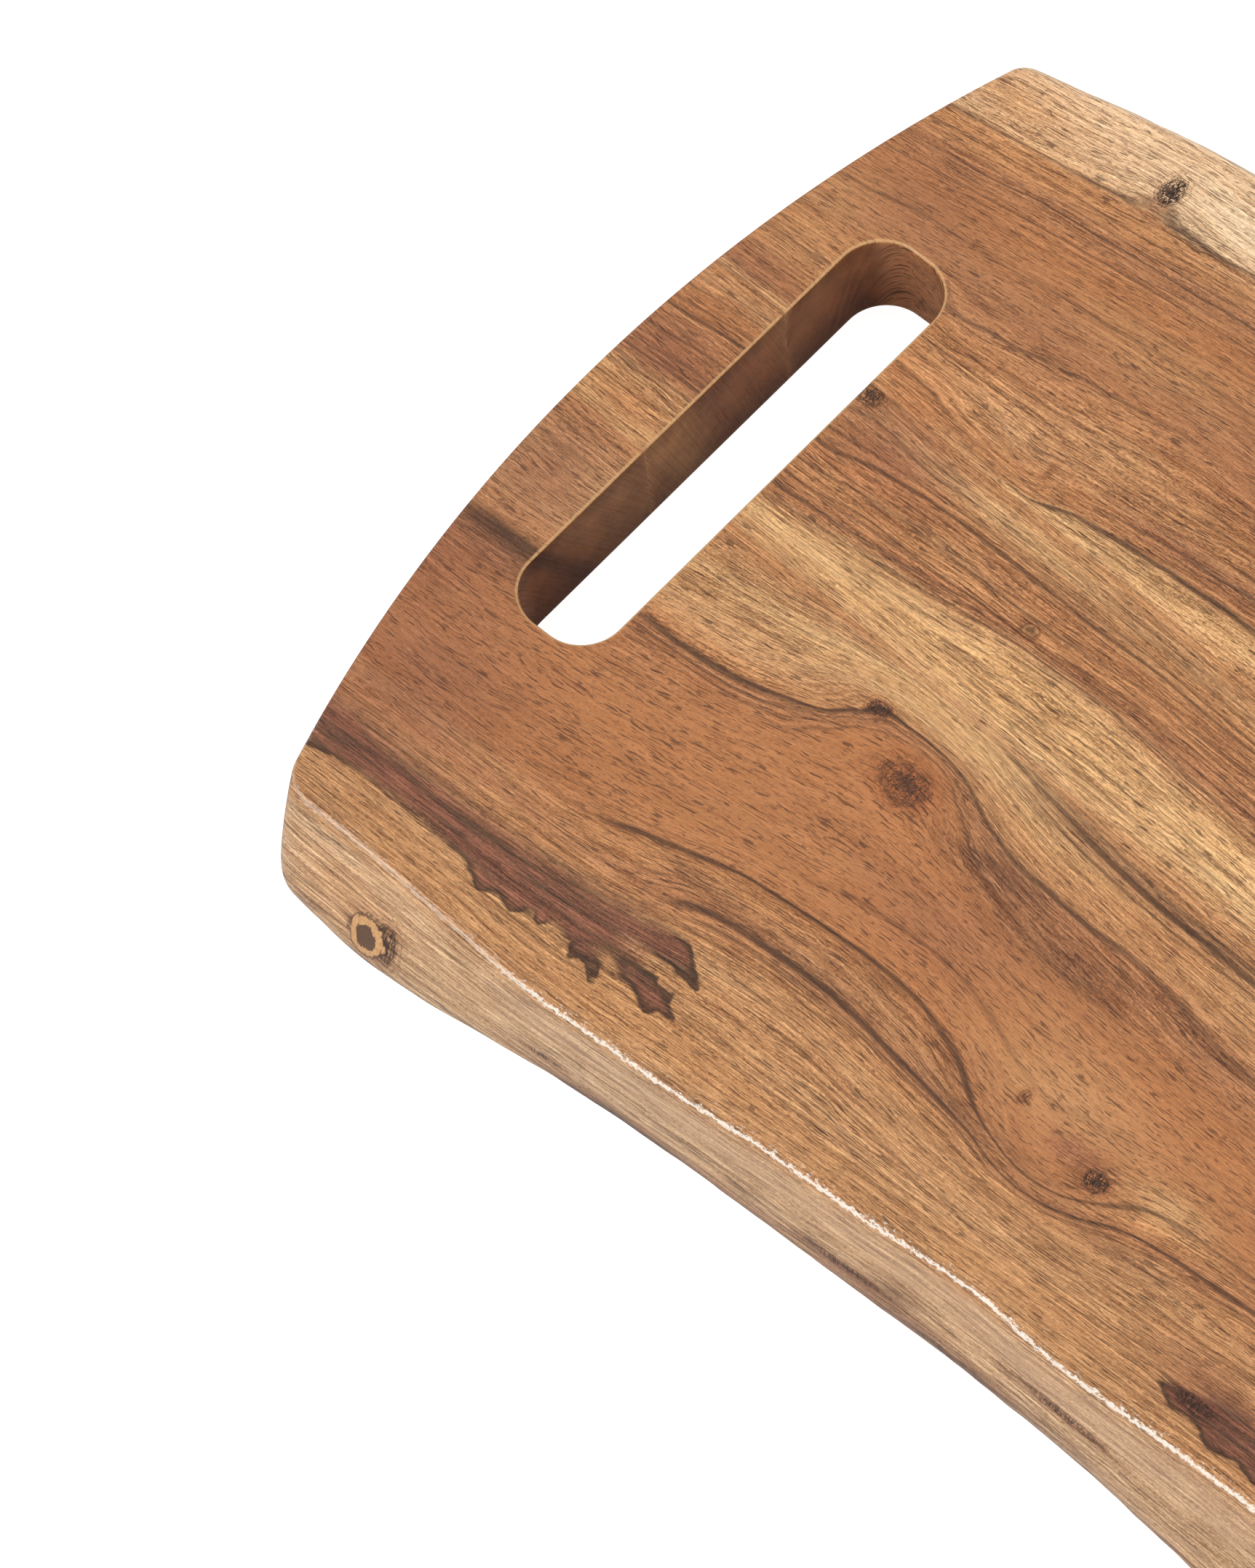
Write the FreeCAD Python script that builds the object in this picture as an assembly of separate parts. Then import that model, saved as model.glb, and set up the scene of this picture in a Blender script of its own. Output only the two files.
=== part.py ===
"""Live-edge serving tray.

Three acacia staves are edge-glued into one board, whose long edges keep the natural
outline of the tree. Each end is cut to a shallow bow and has a long slot as a handle.
The slots cut right through the middle stave, so it is three separate pieces of wood:
the middle stave and one short bar block at each end. Four rubber feet, each held by a
washer and a pan-head wood screw, carry the board.

Frame: millimetres, origin on the supporting surface under the centre of the board,
+X along the grain, +Y towards the far live edge, +Z up.
"""
import FreeCAD, Part
import math
import os
from collections import namedtuple

V = FreeCAD.Vector

# Board
BOARD_LENGTH = 508.0
BOARD_THICKNESS = 29.0
END_BOW_RADIUS = 391.0
END_BOW_CENTRE_Y = -3.8
EDGE_ROUND = 1.2
NEAR_CORNER_ROUND = 10.0
FAR_CORNER_ROUND = 6.0

# Slot handles: the bar is the wood left between a slot and the end of the board
SLOT_LENGTH = 130.0
SLOT_WIDTH = 27.3
SLOT_CORNER_RADIUS = 11.2
BAR_WIDTH = 24.8
SLOT_CENTRE_Y = 2.0

# Glue lines: two parallel joints, a little out of square with the slots
GLUE_LINE_SLOPE = -0.0358
NEAR_GLUE_LINE_Y = -21.8
FAR_GLUE_LINE_Y = 26.6

# Feet
FOOT_HEIGHT = 8.0
FOOT_TOP_RADIUS = 10.0
FOOT_BOTTOM_RADIUS = 9.0
FOOT_EDGE_ROUND = 1.0
FOOT_HOLE_RADIUS = 2.1
FOOT_RECESS_RADIUS = 4.9
FOOT_WEB = 3.5
FOOT_SPACING_X = 330.0
FOOT_SPACING_Y = 196.0

# Washers and screws
WASHER_RADIUS = 4.6
WASHER_BORE_RADIUS = 2.0
WASHER_THICKNESS = 0.9
SCREW_HEAD_RADIUS = 3.5
SCREW_HEAD_HEIGHT = 2.1
SCREW_HEAD_ROUND = 1.2
SCREW_SHANK_RADIUS = 1.75
SCREW_LENGTH = 15.0
SCREW_POINT_LENGTH = 2.5
CROSS_RECESS_LENGTH = 3.6
CROSS_RECESS_WIDTH = 0.8
CROSS_RECESS_DEPTH = 1.2

# Rough sizes of the blank and of the bodies that cut it
BLANK_HALF_WIDTH = 200.0
OVERRUN = 40.0

BOARD_BOTTOM_Z = FOOT_HEIGHT
BOARD_TOP_Z = FOOT_HEIGHT + BOARD_THICKNESS

# One place along a live edge, in board coordinates: the top outline's Y, how far the
# side spreads outward below it, and how much it bellies out between the two faces.
EdgeStation = namedtuple("EdgeStation", "x y flare belly")

NEAR_EDGE = (
    EdgeStation(-290.0, -128.6, 6.8, 1.0),
    EdgeStation(-258.0, -129.6, 7.8, 1.0),
    EdgeStation(-230.0, -130.3, 10.0, 1.1),
    EdgeStation(-205.0, -130.6, 12.3, 1.2),
    EdgeStation(-181.0, -132.0, 9.7, 1.4),
    EdgeStation(-157.0, -133.0, 4.8, 2.0),
    EdgeStation(-133.0, -132.0, 3.0, 2.2),
    EdgeStation(-108.0, -130.0, 3.2, 2.0),
    EdgeStation(-83.0, -127.6, 4.8, 1.8),
    EdgeStation(-58.0, -126.0, 5.3, 1.6),
    EdgeStation(-34.0, -123.8, 6.8, 1.4),
    EdgeStation(-8.0, -124.8, 5.7, 1.4),
    EdgeStation(18.0, -124.0, 7.9, 1.2),
    EdgeStation(47.0, -122.8, 11.2, 1.2),
    EdgeStation(90.0, -125.5, 10.0, 1.2),
    EdgeStation(135.0, -130.0, 6.4, 1.8),
    EdgeStation(180.0, -133.0, 4.4, 2.2),
    EdgeStation(225.0, -131.4, 6.0, 1.8),
    EdgeStation(258.0, -129.2, 7.2, 1.6),
    EdgeStation(290.0, -128.0, 7.6, 1.4),
)

FAR_EDGE = (
    EdgeStation(-290.0, 109.0, 6.0, 1.2),
    EdgeStation(-258.0, 116.4, 6.2, 1.2),
    EdgeStation(-233.0, 122.8, 6.4, 1.4),
    EdgeStation(-210.0, 128.0, 6.2, 1.6),
    EdgeStation(-187.0, 132.4, 6.0, 1.8),
    EdgeStation(-160.0, 135.2, 5.8, 2.0),
    EdgeStation(-125.0, 136.6, 5.4, 2.2),
    EdgeStation(-85.0, 135.0, 5.8, 2.2),
    EdgeStation(-45.0, 131.6, 7.2, 2.0),
    EdgeStation(0.0, 129.6, 8.6, 1.6),
    EdgeStation(45.0, 131.6, 7.6, 1.8),
    EdgeStation(90.0, 134.6, 5.6, 2.2),
    EdgeStation(135.0, 133.8, 4.8, 2.4),
    EdgeStation(180.0, 130.0, 6.0, 2.0),
    EdgeStation(225.0, 126.0, 6.8, 1.6),
    EdgeStation(258.0, 122.4, 7.0, 1.6),
    EdgeStation(290.0, 119.0, 7.0, 1.4),
)

# Shape of a live edge through the thickness, from below the board to above it: height
# as a share of the thickness, then the shares of the flare and of the belly there.
EDGE_PROFILE = (
    (-0.12, 0.84, -1.10),
    (0.00, 0.95, -0.20),
    (0.15, 1.00, 0.50),
    (0.45, 0.78, 1.00),
    (0.75, 0.40, 0.80),
    (1.00, 0.00, 0.00),
    (1.12, -0.24, -0.60),
)


def slot_centre_x(side):
    """X of a slot's centre; side is -1 for the left handle and 1 for the right one."""
    return side * (BOARD_LENGTH / 2.0 - BAR_WIDTH - SLOT_WIDTH / 2.0)


def glue_line_y(y_at_centre, x):
    """Y of a glue line at x, from its Y at the middle of the board."""
    return y_at_centre + GLUE_LINE_SLOPE * x


def prism(corners, z_low, z_high):
    """Upright solid on a closed polygon of (x, y) corners."""
    points = [V(x, y, z_low) for x, y in corners]
    face = Part.Face(Part.makePolygon(points + points[:1]))
    return face.extrude(V(0, 0, z_high - z_low))


def bowed_blank():
    """The board's blank: two bowed ends joined by straight edges outside the live edges."""
    apex = BOARD_LENGTH / 2.0
    centre = apex - END_BOW_RADIUS
    end_x = centre + math.sqrt(END_BOW_RADIUS ** 2 - BLANK_HALF_WIDTH ** 2)
    low_y = END_BOW_CENTRE_Y - BLANK_HALF_WIDTH
    high_y = END_BOW_CENTRE_Y + BLANK_HALF_WIDTH
    right_low = V(end_x, low_y, BOARD_BOTTOM_Z)
    right_mid = V(apex, END_BOW_CENTRE_Y, BOARD_BOTTOM_Z)
    right_high = V(end_x, high_y, BOARD_BOTTOM_Z)
    left_high = V(-end_x, high_y, BOARD_BOTTOM_Z)
    left_mid = V(-apex, END_BOW_CENTRE_Y, BOARD_BOTTOM_Z)
    left_low = V(-end_x, low_y, BOARD_BOTTOM_Z)
    outline = Part.Wire([
        Part.Arc(right_low, right_mid, right_high).toShape(),
        Part.makeLine(right_high, left_high),
        Part.Arc(left_high, left_mid, left_low).toShape(),
        Part.makeLine(left_low, right_low),
    ])
    return Part.Face(outline).extrude(V(0, 0, BOARD_THICKNESS))


def live_edge_waste(stations, outward):
    """The wood outside a live edge, to be cut away; outward is -1 or 1 along Y."""
    rows = []
    for station in stations:
        row = []
        for height, flare_share, belly_share in EDGE_PROFILE:
            offset = flare_share * station.flare + belly_share * station.belly
            z = BOARD_BOTTOM_Z + height * BOARD_THICKNESS
            row.append(V(station.x, station.y + outward * offset, z))
        rows.append(row)
    surface = Part.BSplineSurface()
    surface.interpolate(rows)
    return surface.toShape().extrude(V(0, outward * 2.5 * OVERRUN, 0))


def slot_cutter(side):
    """A rounded-rectangle bar through the board for one handle."""
    cutter = Part.makeBox(
        SLOT_WIDTH,
        SLOT_LENGTH,
        BOARD_THICKNESS + 2.0 * OVERRUN,
        V(
            slot_centre_x(side) - SLOT_WIDTH / 2.0,
            SLOT_CENTRE_Y - SLOT_LENGTH / 2.0,
            BOARD_BOTTOM_Z - OVERRUN,
        ),
    )
    return cutter.makeFillet(SLOT_CORNER_RADIUS, upright_edges(cutter))


def upright_edges(shape):
    """Straight edges that run along Z."""
    found = []
    for edge in shape.Edges:
        ends = [vertex.Point for vertex in edge.Vertexes]
        if len(ends) == 2 and math.hypot(ends[0].x - ends[1].x, ends[0].y - ends[1].y) < 1e-6:
            found.append(edge)
    return found


def corner_edges(board, outward):
    """The two edges where the bowed ends meet the live edge on one side, -1 or 1 along Y."""
    found = []
    for edge in board.Edges:
        through = edge.BoundBox.ZLength > BOARD_THICKNESS - 0.1
        if through and edge.CenterOfMass.y * outward > 0.0:
            found.append(edge)
    return found


def rim_edges(board):
    """Every edge that lies in the top or the bottom face."""
    found = []
    for edge in board.Edges:
        box = edge.BoundBox
        flat = box.ZLength < 1e-3
        on_top = abs(box.ZMax - BOARD_TOP_Z) < 1e-3
        on_bottom = abs(box.ZMin - BOARD_BOTTOM_Z) < 1e-3
        if flat and (on_top or on_bottom):
            found.append(edge)
    return found


def foot_places():
    """Name and (x, y) of each foot."""
    places = []
    for x_name, x_side in (("left", -1), ("right", 1)):
        for y_name, y_side in (("near", -1), ("far", 1)):
            x = x_side * FOOT_SPACING_X / 2.0
            y = y_side * FOOT_SPACING_Y / 2.0
            places.append((y_name + "_" + x_name, x, y))
    return places


def pilot_hole(x, y):
    """The hole that a foot's screw fills in the wood."""
    tip_z = FOOT_HEIGHT - FOOT_WEB - WASHER_THICKNESS + SCREW_LENGTH
    return Part.makeCylinder(SCREW_SHANK_RADIUS, tip_z, V(x, y, 0.0))


def make_board():
    """The whole board in one piece, before it is parted along its glue lines."""
    board = bowed_blank()
    board = board.cut(live_edge_waste(NEAR_EDGE, -1))
    board = board.cut(live_edge_waste(FAR_EDGE, 1))
    board = board.makeFillet(NEAR_CORNER_ROUND, corner_edges(board, -1))
    board = board.makeFillet(FAR_CORNER_ROUND, corner_edges(board, 1))
    for side in (-1, 1):
        board = board.cut(slot_cutter(side))
    board = board.makeFillet(EDGE_ROUND, rim_edges(board))
    for _, x, y in foot_places():
        board = board.cut(pilot_hole(x, y))
    return board


def stave_strip(low_y, high_y):
    """A skewed strip as long as the board, between two lines parallel to the glue lines."""
    end = BOARD_LENGTH / 2.0 + OVERRUN
    corners = [
        (-end, glue_line_y(low_y, -end)),
        (end, glue_line_y(low_y, end)),
        (end, glue_line_y(high_y, end)),
        (-end, glue_line_y(high_y, -end)),
    ]
    return prism(corners, BOARD_BOTTOM_Z - OVERRUN, BOARD_TOP_Z + OVERRUN)


def part_board(board):
    """The five pieces of wood, by name."""
    outer = BLANK_HALF_WIDTH + OVERRUN
    near = board.common(stave_strip(-outer, NEAR_GLUE_LINE_Y))
    middle = board.common(stave_strip(NEAR_GLUE_LINE_Y, FAR_GLUE_LINE_Y))
    far = board.common(stave_strip(FAR_GLUE_LINE_Y, outer))
    left, centre, right = sorted(middle.Solids, key=lambda solid: solid.CenterOfMass.x)
    return {
        "near_stave": near.Solids[0],
        "middle_stave": centre,
        "far_stave": far.Solids[0],
        "left_bar_block": left,
        "right_bar_block": right,
    }


def make_foot(x, y):
    """A tapered rubber foot with a hole for the screw and a recess for its head."""
    body = Part.makeCone(FOOT_BOTTOM_RADIUS, FOOT_TOP_RADIUS, FOOT_HEIGHT, V(x, y, 0.0))
    rims = [edge for edge in body.Edges if edge.BoundBox.ZMax < 1e-3]
    body = body.makeFillet(FOOT_EDGE_ROUND, rims)
    hole = Part.makeCylinder(FOOT_HOLE_RADIUS, FOOT_HEIGHT, V(x, y, 0.0))
    recess = Part.makeCylinder(FOOT_RECESS_RADIUS, FOOT_HEIGHT - FOOT_WEB, V(x, y, 0.0))
    return body.cut(hole).cut(recess)


def make_washer(x, y):
    """The washer that spreads the screw's load over the web of the foot."""
    z = FOOT_HEIGHT - FOOT_WEB - WASHER_THICKNESS
    disc = Part.makeCylinder(WASHER_RADIUS, WASHER_THICKNESS, V(x, y, z))
    bore = Part.makeCylinder(WASHER_BORE_RADIUS, WASHER_THICKNESS, V(x, y, z))
    return disc.cut(bore)


def make_screw(x, y):
    """A pan-head wood screw with a cross recess, driven upwards through its washer."""
    seat_z = FOOT_HEIGHT - FOOT_WEB - WASHER_THICKNESS
    head_z = seat_z - SCREW_HEAD_HEIGHT
    head = Part.makeCylinder(SCREW_HEAD_RADIUS, SCREW_HEAD_HEIGHT, V(x, y, head_z))
    rims = [edge for edge in head.Edges if edge.BoundBox.ZMax < head_z + 1e-3]
    head = head.makeFillet(SCREW_HEAD_ROUND, rims)
    straight = SCREW_LENGTH - SCREW_POINT_LENGTH
    shank = Part.makeCylinder(SCREW_SHANK_RADIUS, straight, V(x, y, seat_z))
    point = Part.makeCone(
        SCREW_SHANK_RADIUS, 0.2, SCREW_POINT_LENGTH, V(x, y, seat_z + straight)
    )
    screw = head.fuse(shank).fuse(point)
    for size_x, size_y in (
        (CROSS_RECESS_LENGTH, CROSS_RECESS_WIDTH),
        (CROSS_RECESS_WIDTH, CROSS_RECESS_LENGTH),
    ):
        corner = V(x - size_x / 2.0, y - size_y / 2.0, head_z)
        screw = screw.cut(Part.makeBox(size_x, size_y, CROSS_RECESS_DEPTH, corner))
    return screw.removeSplitter()


def export(name, shape):
    """Writes one named piece, after checking that it is a sound solid."""
    if not shape.isValid():
        raise ValueError(name + " is not a valid solid")
    shape.exportStep("parts/" + name + ".step")


def main():
    os.makedirs("parts", exist_ok=True)
    for name, stave in part_board(make_board()).items():
        export(name, stave)
    for name, x, y in foot_places():
        export(name + "_foot", make_foot(x, y))
    export("foot_washers", Part.makeCompound([make_washer(x, y) for _, x, y in foot_places()]))
    export("foot_screws", Part.makeCompound([make_screw(x, y) for _, x, y in foot_places()]))


main()
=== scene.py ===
"""Live-edge serving tray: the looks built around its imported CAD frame.

Three acacia staves are edge-glued into one board. Each piece of wood is meshed here from
the same outline as the CAD part, with worn arrises, a faintly wavy planed face and dished
knots, and carries its own growth-ring figure as mesh attributes that the wood shader reads.
Lengths in this script are millimetres in the frame's axes, apart from the lamps', which are
in metres. They turn into metres when a mesh is made.
"""
import logging
import math
from dataclasses import dataclass, field
from enum import Enum
from typing import Callable, Dict, List, Optional, Sequence, Tuple

import bpy
import numpy as np
from mathutils import Matrix, Vector
from mathutils.geometry import delaunay_2d_cdt


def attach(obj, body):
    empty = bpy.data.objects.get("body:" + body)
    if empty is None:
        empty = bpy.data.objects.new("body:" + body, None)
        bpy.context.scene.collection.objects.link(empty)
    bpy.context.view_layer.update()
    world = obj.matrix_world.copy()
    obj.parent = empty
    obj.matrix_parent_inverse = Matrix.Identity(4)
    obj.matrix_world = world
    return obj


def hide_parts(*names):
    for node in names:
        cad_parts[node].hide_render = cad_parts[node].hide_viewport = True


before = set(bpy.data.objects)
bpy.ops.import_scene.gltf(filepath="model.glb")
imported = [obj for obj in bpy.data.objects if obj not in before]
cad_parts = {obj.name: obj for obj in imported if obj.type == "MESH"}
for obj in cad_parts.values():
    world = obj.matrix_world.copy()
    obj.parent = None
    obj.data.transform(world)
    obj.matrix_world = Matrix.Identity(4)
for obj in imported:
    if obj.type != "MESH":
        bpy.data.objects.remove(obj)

log = logging.getLogger("serving_tray")

MM = 0.001
BOARD_BOTTOM = 8.0
BOARD_TOP = 37.0
THICKNESS = BOARD_TOP - BOARD_BOTTOM
EDGE_ROUND = 1.2
BODY = "root"
SEED = 23

# Rows of an equal-sided triangle lattice, as a share of its step.
ROW_PITCH = 0.866
# Corners sharper than this stay sharp in the shading, in degrees.
SHARP_ANGLE = 42.0
# Distance from the board's middle line where the live sides begin; they take a painted sheen, a painted
# glint along the arris and fewer open pores.
LIVE_SIDE_FROM, LIVE_SIDE_TO = 112.0, 118.0
# Half sizes of the part of the board that holds both slots, without its outer rims.
SLOT_REACH_X, SLOT_REACH_Y = 236.0, 72.0

Point = Tuple[float, float]
Node = bpy.types.Node
Socket = bpy.types.NodeSocket
Tree = bpy.types.NodeTree
Material = bpy.types.Material
Colour = Tuple[float, float, float, float]


class End(Enum):
    """An end of the board along the grain."""

    LEFT = -1
    RIGHT = 1


class Edge(Enum):
    """A long side of the board."""

    NEAR = -1
    FAR = 1


class Tone(Enum):
    """Wood and finish colours as seen in daylight, with a painted glint and a painted sheen, in display
    values from 0 to 1.
    """

    SAP_CREAM = (0.945, 0.79, 0.625)
    SAP_PALE = (0.985, 0.86, 0.70)
    SAP_STRAW = (0.84, 0.67, 0.50)
    SAP_SIDE = (0.795, 0.645, 0.495)
    HONEY = (0.865, 0.675, 0.465)
    TAN = (0.80, 0.595, 0.41)
    GOLD = (0.765, 0.56, 0.375)
    AMBER = (0.755, 0.53, 0.345)
    ORANGE_BROWN = (0.72, 0.483, 0.307)
    RED_BROWN = (0.61, 0.395, 0.28)
    MID_BROWN = (0.695, 0.475, 0.32)
    UMBER = (0.50, 0.335, 0.235)
    FLAME = (0.50, 0.30, 0.235)
    LINE = (0.27, 0.185, 0.135)
    PORE = (0.27, 0.165, 0.12)
    KNOT_DARK = (0.30, 0.205, 0.165)
    CHAR = (0.13, 0.095, 0.08)
    # Colour of the live arrises' painted glint.
    FROST = (0.97, 0.92, 0.86)
    # Colour of the live sides' painted sheen.
    SIDE_ROSE = (0.775, 0.635, 0.535)

    @property
    def linear(self) -> np.ndarray:
        """The tone as scene-linear RGB."""
        value = np.array(self.value)
        return np.where(value <= 0.04045, value / 12.92, ((value + 0.055) / 1.055) ** 2.4)


def rgba(tone: Tone) -> Colour:
    """Turns a tone into the four values that a colour socket takes.

    Args:
        tone: The tone.

    Returns:
        Linear red, green and blue, with full alpha.
    """
    red, green, blue = tone.linear
    return (float(red), float(green), float(blue), 1.0)


def smooth_step(low: float, high: float, value: np.ndarray) -> np.ndarray:
    """Rises smoothly from 0 at low to 1 at high.

    Args:
        low: Where the rise starts.
        high: Where it ends; it may be less than low.
        value: Positions to evaluate.

    Returns:
        The share from 0 to 1 at each position.
    """
    share = np.clip((value - low) / (high - low), 0.0, 1.0)
    return share * share * (3.0 - 2.0 * share)


class Spline:
    """Natural cubic spline through a few stations."""

    def __init__(self, x: Sequence[float], y: Sequence[float]) -> None:
        """Solves for the curvature at each station.

        Args:
            x: Rising station positions.
            y: Values there.
        """
        self.x = np.array(x, float)
        self.y = np.array(y, float)
        step = np.diff(self.x)
        slope = np.diff(self.y) / step
        count = len(self.x)
        matrix = np.eye(count)
        right = np.zeros(count)
        for i in range(1, count - 1):
            matrix[i, i - 1 : i + 2] = (step[i - 1], 2.0 * (step[i - 1] + step[i]), step[i])
            right[i] = 6.0 * (slope[i] - slope[i - 1])
        self.bend = np.linalg.solve(matrix, right)

    def __call__(self, at: np.ndarray) -> np.ndarray:
        """Evaluates the curve.

        Args:
            at: Positions.

        Returns:
            The value at each position.
        """
        at = np.asarray(at, float)
        i = np.clip(np.searchsorted(self.x, at) - 1, 0, len(self.x) - 2)
        step = self.x[i + 1] - self.x[i]
        b = (at - self.x[i]) / step
        a = 1.0 - b
        curve = (a ** 3 - a) * self.bend[i] + (b ** 3 - b) * self.bend[i + 1]
        return a * self.y[i] + b * self.y[i + 1] + curve * step ** 2 / 6.0


class Ripple:
    """Smooth repeatable waviness over a plane: a sum of a few seeded waves."""

    def __init__(self, seed: int, length: float, count: int = 9, squeeze: float = 1.0) -> None:
        """Draws the waves.

        Args:
            seed: Seed of the draw.
            length: Typical wavelength in mm.
            count: Number of waves.
            squeeze: How much longer the waves are along X than across it.
        """
        draw = np.random.default_rng(seed)
        angle = draw.uniform(0.0, math.tau, count)
        rate = math.tau / (length * draw.uniform(0.6, 1.7, count))
        self.rate_x = rate * np.cos(angle) / squeeze
        self.rate_y = rate * np.sin(angle)
        self.phase = draw.uniform(0.0, math.tau, count)

    def __call__(self, x: np.ndarray, y: np.ndarray) -> np.ndarray:
        """Evaluates the waviness.

        Args:
            x: Positions along X.
            y: Positions across it.

        Returns:
            Values between -1 and 1, mostly small.
        """
        total = np.zeros(np.broadcast(x, y).shape)
        for rate_x, rate_y, phase in zip(self.rate_x, self.rate_y, self.phase):
            total += np.sin(rate_x * x + rate_y * y + phase)
        return total / len(self.phase)


# ---------------------------------------------------------------- the board's outline


class LiveEdge:
    """A natural edge of the tree: its top outline, and how its side spreads below it."""

    HEIGHTS = (-0.12, 0.0, 0.15, 0.45, 0.75, 1.0, 1.12)
    FLARE_SHARES = (0.84, 0.95, 1.0, 0.78, 0.40, 0.0, -0.24)
    BELLY_SHARES = (-1.10, -0.20, 0.50, 1.0, 0.80, 0.0, -0.60)

    def __init__(self, edge: Edge, stations: Sequence[Tuple[float, float, float, float]]) -> None:
        """Fits the edge's curves.

        Args:
            edge: Which long side it is.
            stations: X, top outline's Y, flare and belly at each place.
        """
        x, y, flare, belly = zip(*stations)
        self.outward = float(edge.value)
        self.top = Spline(x, y)
        self.flare = Spline(x, flare)
        self.belly = Spline(x, belly)
        self.flare_share = Spline(self.HEIGHTS, self.FLARE_SHARES)
        self.belly_share = Spline(self.HEIGHTS, self.BELLY_SHARES)

    def y_at(self, x: np.ndarray, height: float) -> np.ndarray:
        """Y of the edge's surface.

        Args:
            x: Places along the board.
            height: Share of the thickness, 0 at the underside.

        Returns:
            Y at each place.
        """
        spread = self.flare(x) * self.flare_share(height)
        spread = spread + self.belly(x) * self.belly_share(height)
        return self.top(x) + self.outward * spread

    def normal_at(self, x: np.ndarray, height: float) -> Tuple[np.ndarray, np.ndarray]:
        """Level outward direction of the edge.

        Args:
            x: Places along the board.
            height: Share of the thickness.

        Returns:
            X and Y parts of the unit direction at each place.
        """
        slope = (self.y_at(x + 0.5, height) - self.y_at(x - 0.5, height)) / 1.0
        size = np.sqrt(1.0 + slope ** 2)
        return -self.outward * slope / size, self.outward / size


NEAR_EDGE = LiveEdge(Edge.NEAR, (
    (-290.0, -128.6, 6.8, 1.0),
    (-258.0, -129.6, 7.8, 1.0),
    (-230.0, -130.3, 10.0, 1.1),
    (-205.0, -130.6, 12.3, 1.2),
    (-181.0, -132.0, 9.7, 1.4),
    (-157.0, -133.0, 4.8, 2.0),
    (-133.0, -132.0, 3.0, 2.2),
    (-108.0, -130.0, 3.2, 2.0),
    (-83.0, -127.6, 4.8, 1.8),
    (-58.0, -126.0, 5.3, 1.6),
    (-34.0, -123.8, 6.8, 1.4),
    (-8.0, -124.8, 5.7, 1.4),
    (18.0, -124.0, 7.9, 1.2),
    (47.0, -122.8, 11.2, 1.2),
    (90.0, -125.5, 10.0, 1.2),
    (135.0, -130.0, 6.4, 1.8),
    (180.0, -133.0, 4.4, 2.2),
    (225.0, -131.4, 6.0, 1.8),
    (258.0, -129.2, 7.2, 1.6),
    (290.0, -128.0, 7.6, 1.4),
))

FAR_EDGE = LiveEdge(Edge.FAR, (
    (-290.0, 109.0, 6.0, 1.2),
    (-258.0, 116.4, 6.2, 1.2),
    (-233.0, 122.8, 6.4, 1.4),
    (-210.0, 128.0, 6.2, 1.6),
    (-187.0, 132.4, 6.0, 1.8),
    (-160.0, 135.2, 5.8, 2.0),
    (-125.0, 136.6, 5.4, 2.2),
    (-85.0, 135.0, 5.8, 2.2),
    (-45.0, 131.6, 7.2, 2.0),
    (0.0, 129.6, 8.6, 1.6),
    (45.0, 131.6, 7.6, 1.8),
    (90.0, 134.6, 5.6, 2.2),
    (135.0, 133.8, 4.8, 2.4),
    (180.0, 130.0, 6.0, 2.0),
    (225.0, 126.0, 6.8, 1.6),
    (258.0, 122.4, 7.0, 1.6),
    (290.0, 119.0, 7.0, 1.4),
))


@dataclass(frozen=True)
class Level:
    """One height in the thickness, with how far the rounded rims draw the outline in."""

    z: float
    inset: float

    @property
    def share(self) -> float:
        """Height as a share of the thickness."""
        return (self.z - BOARD_BOTTOM) / THICKNESS


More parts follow.
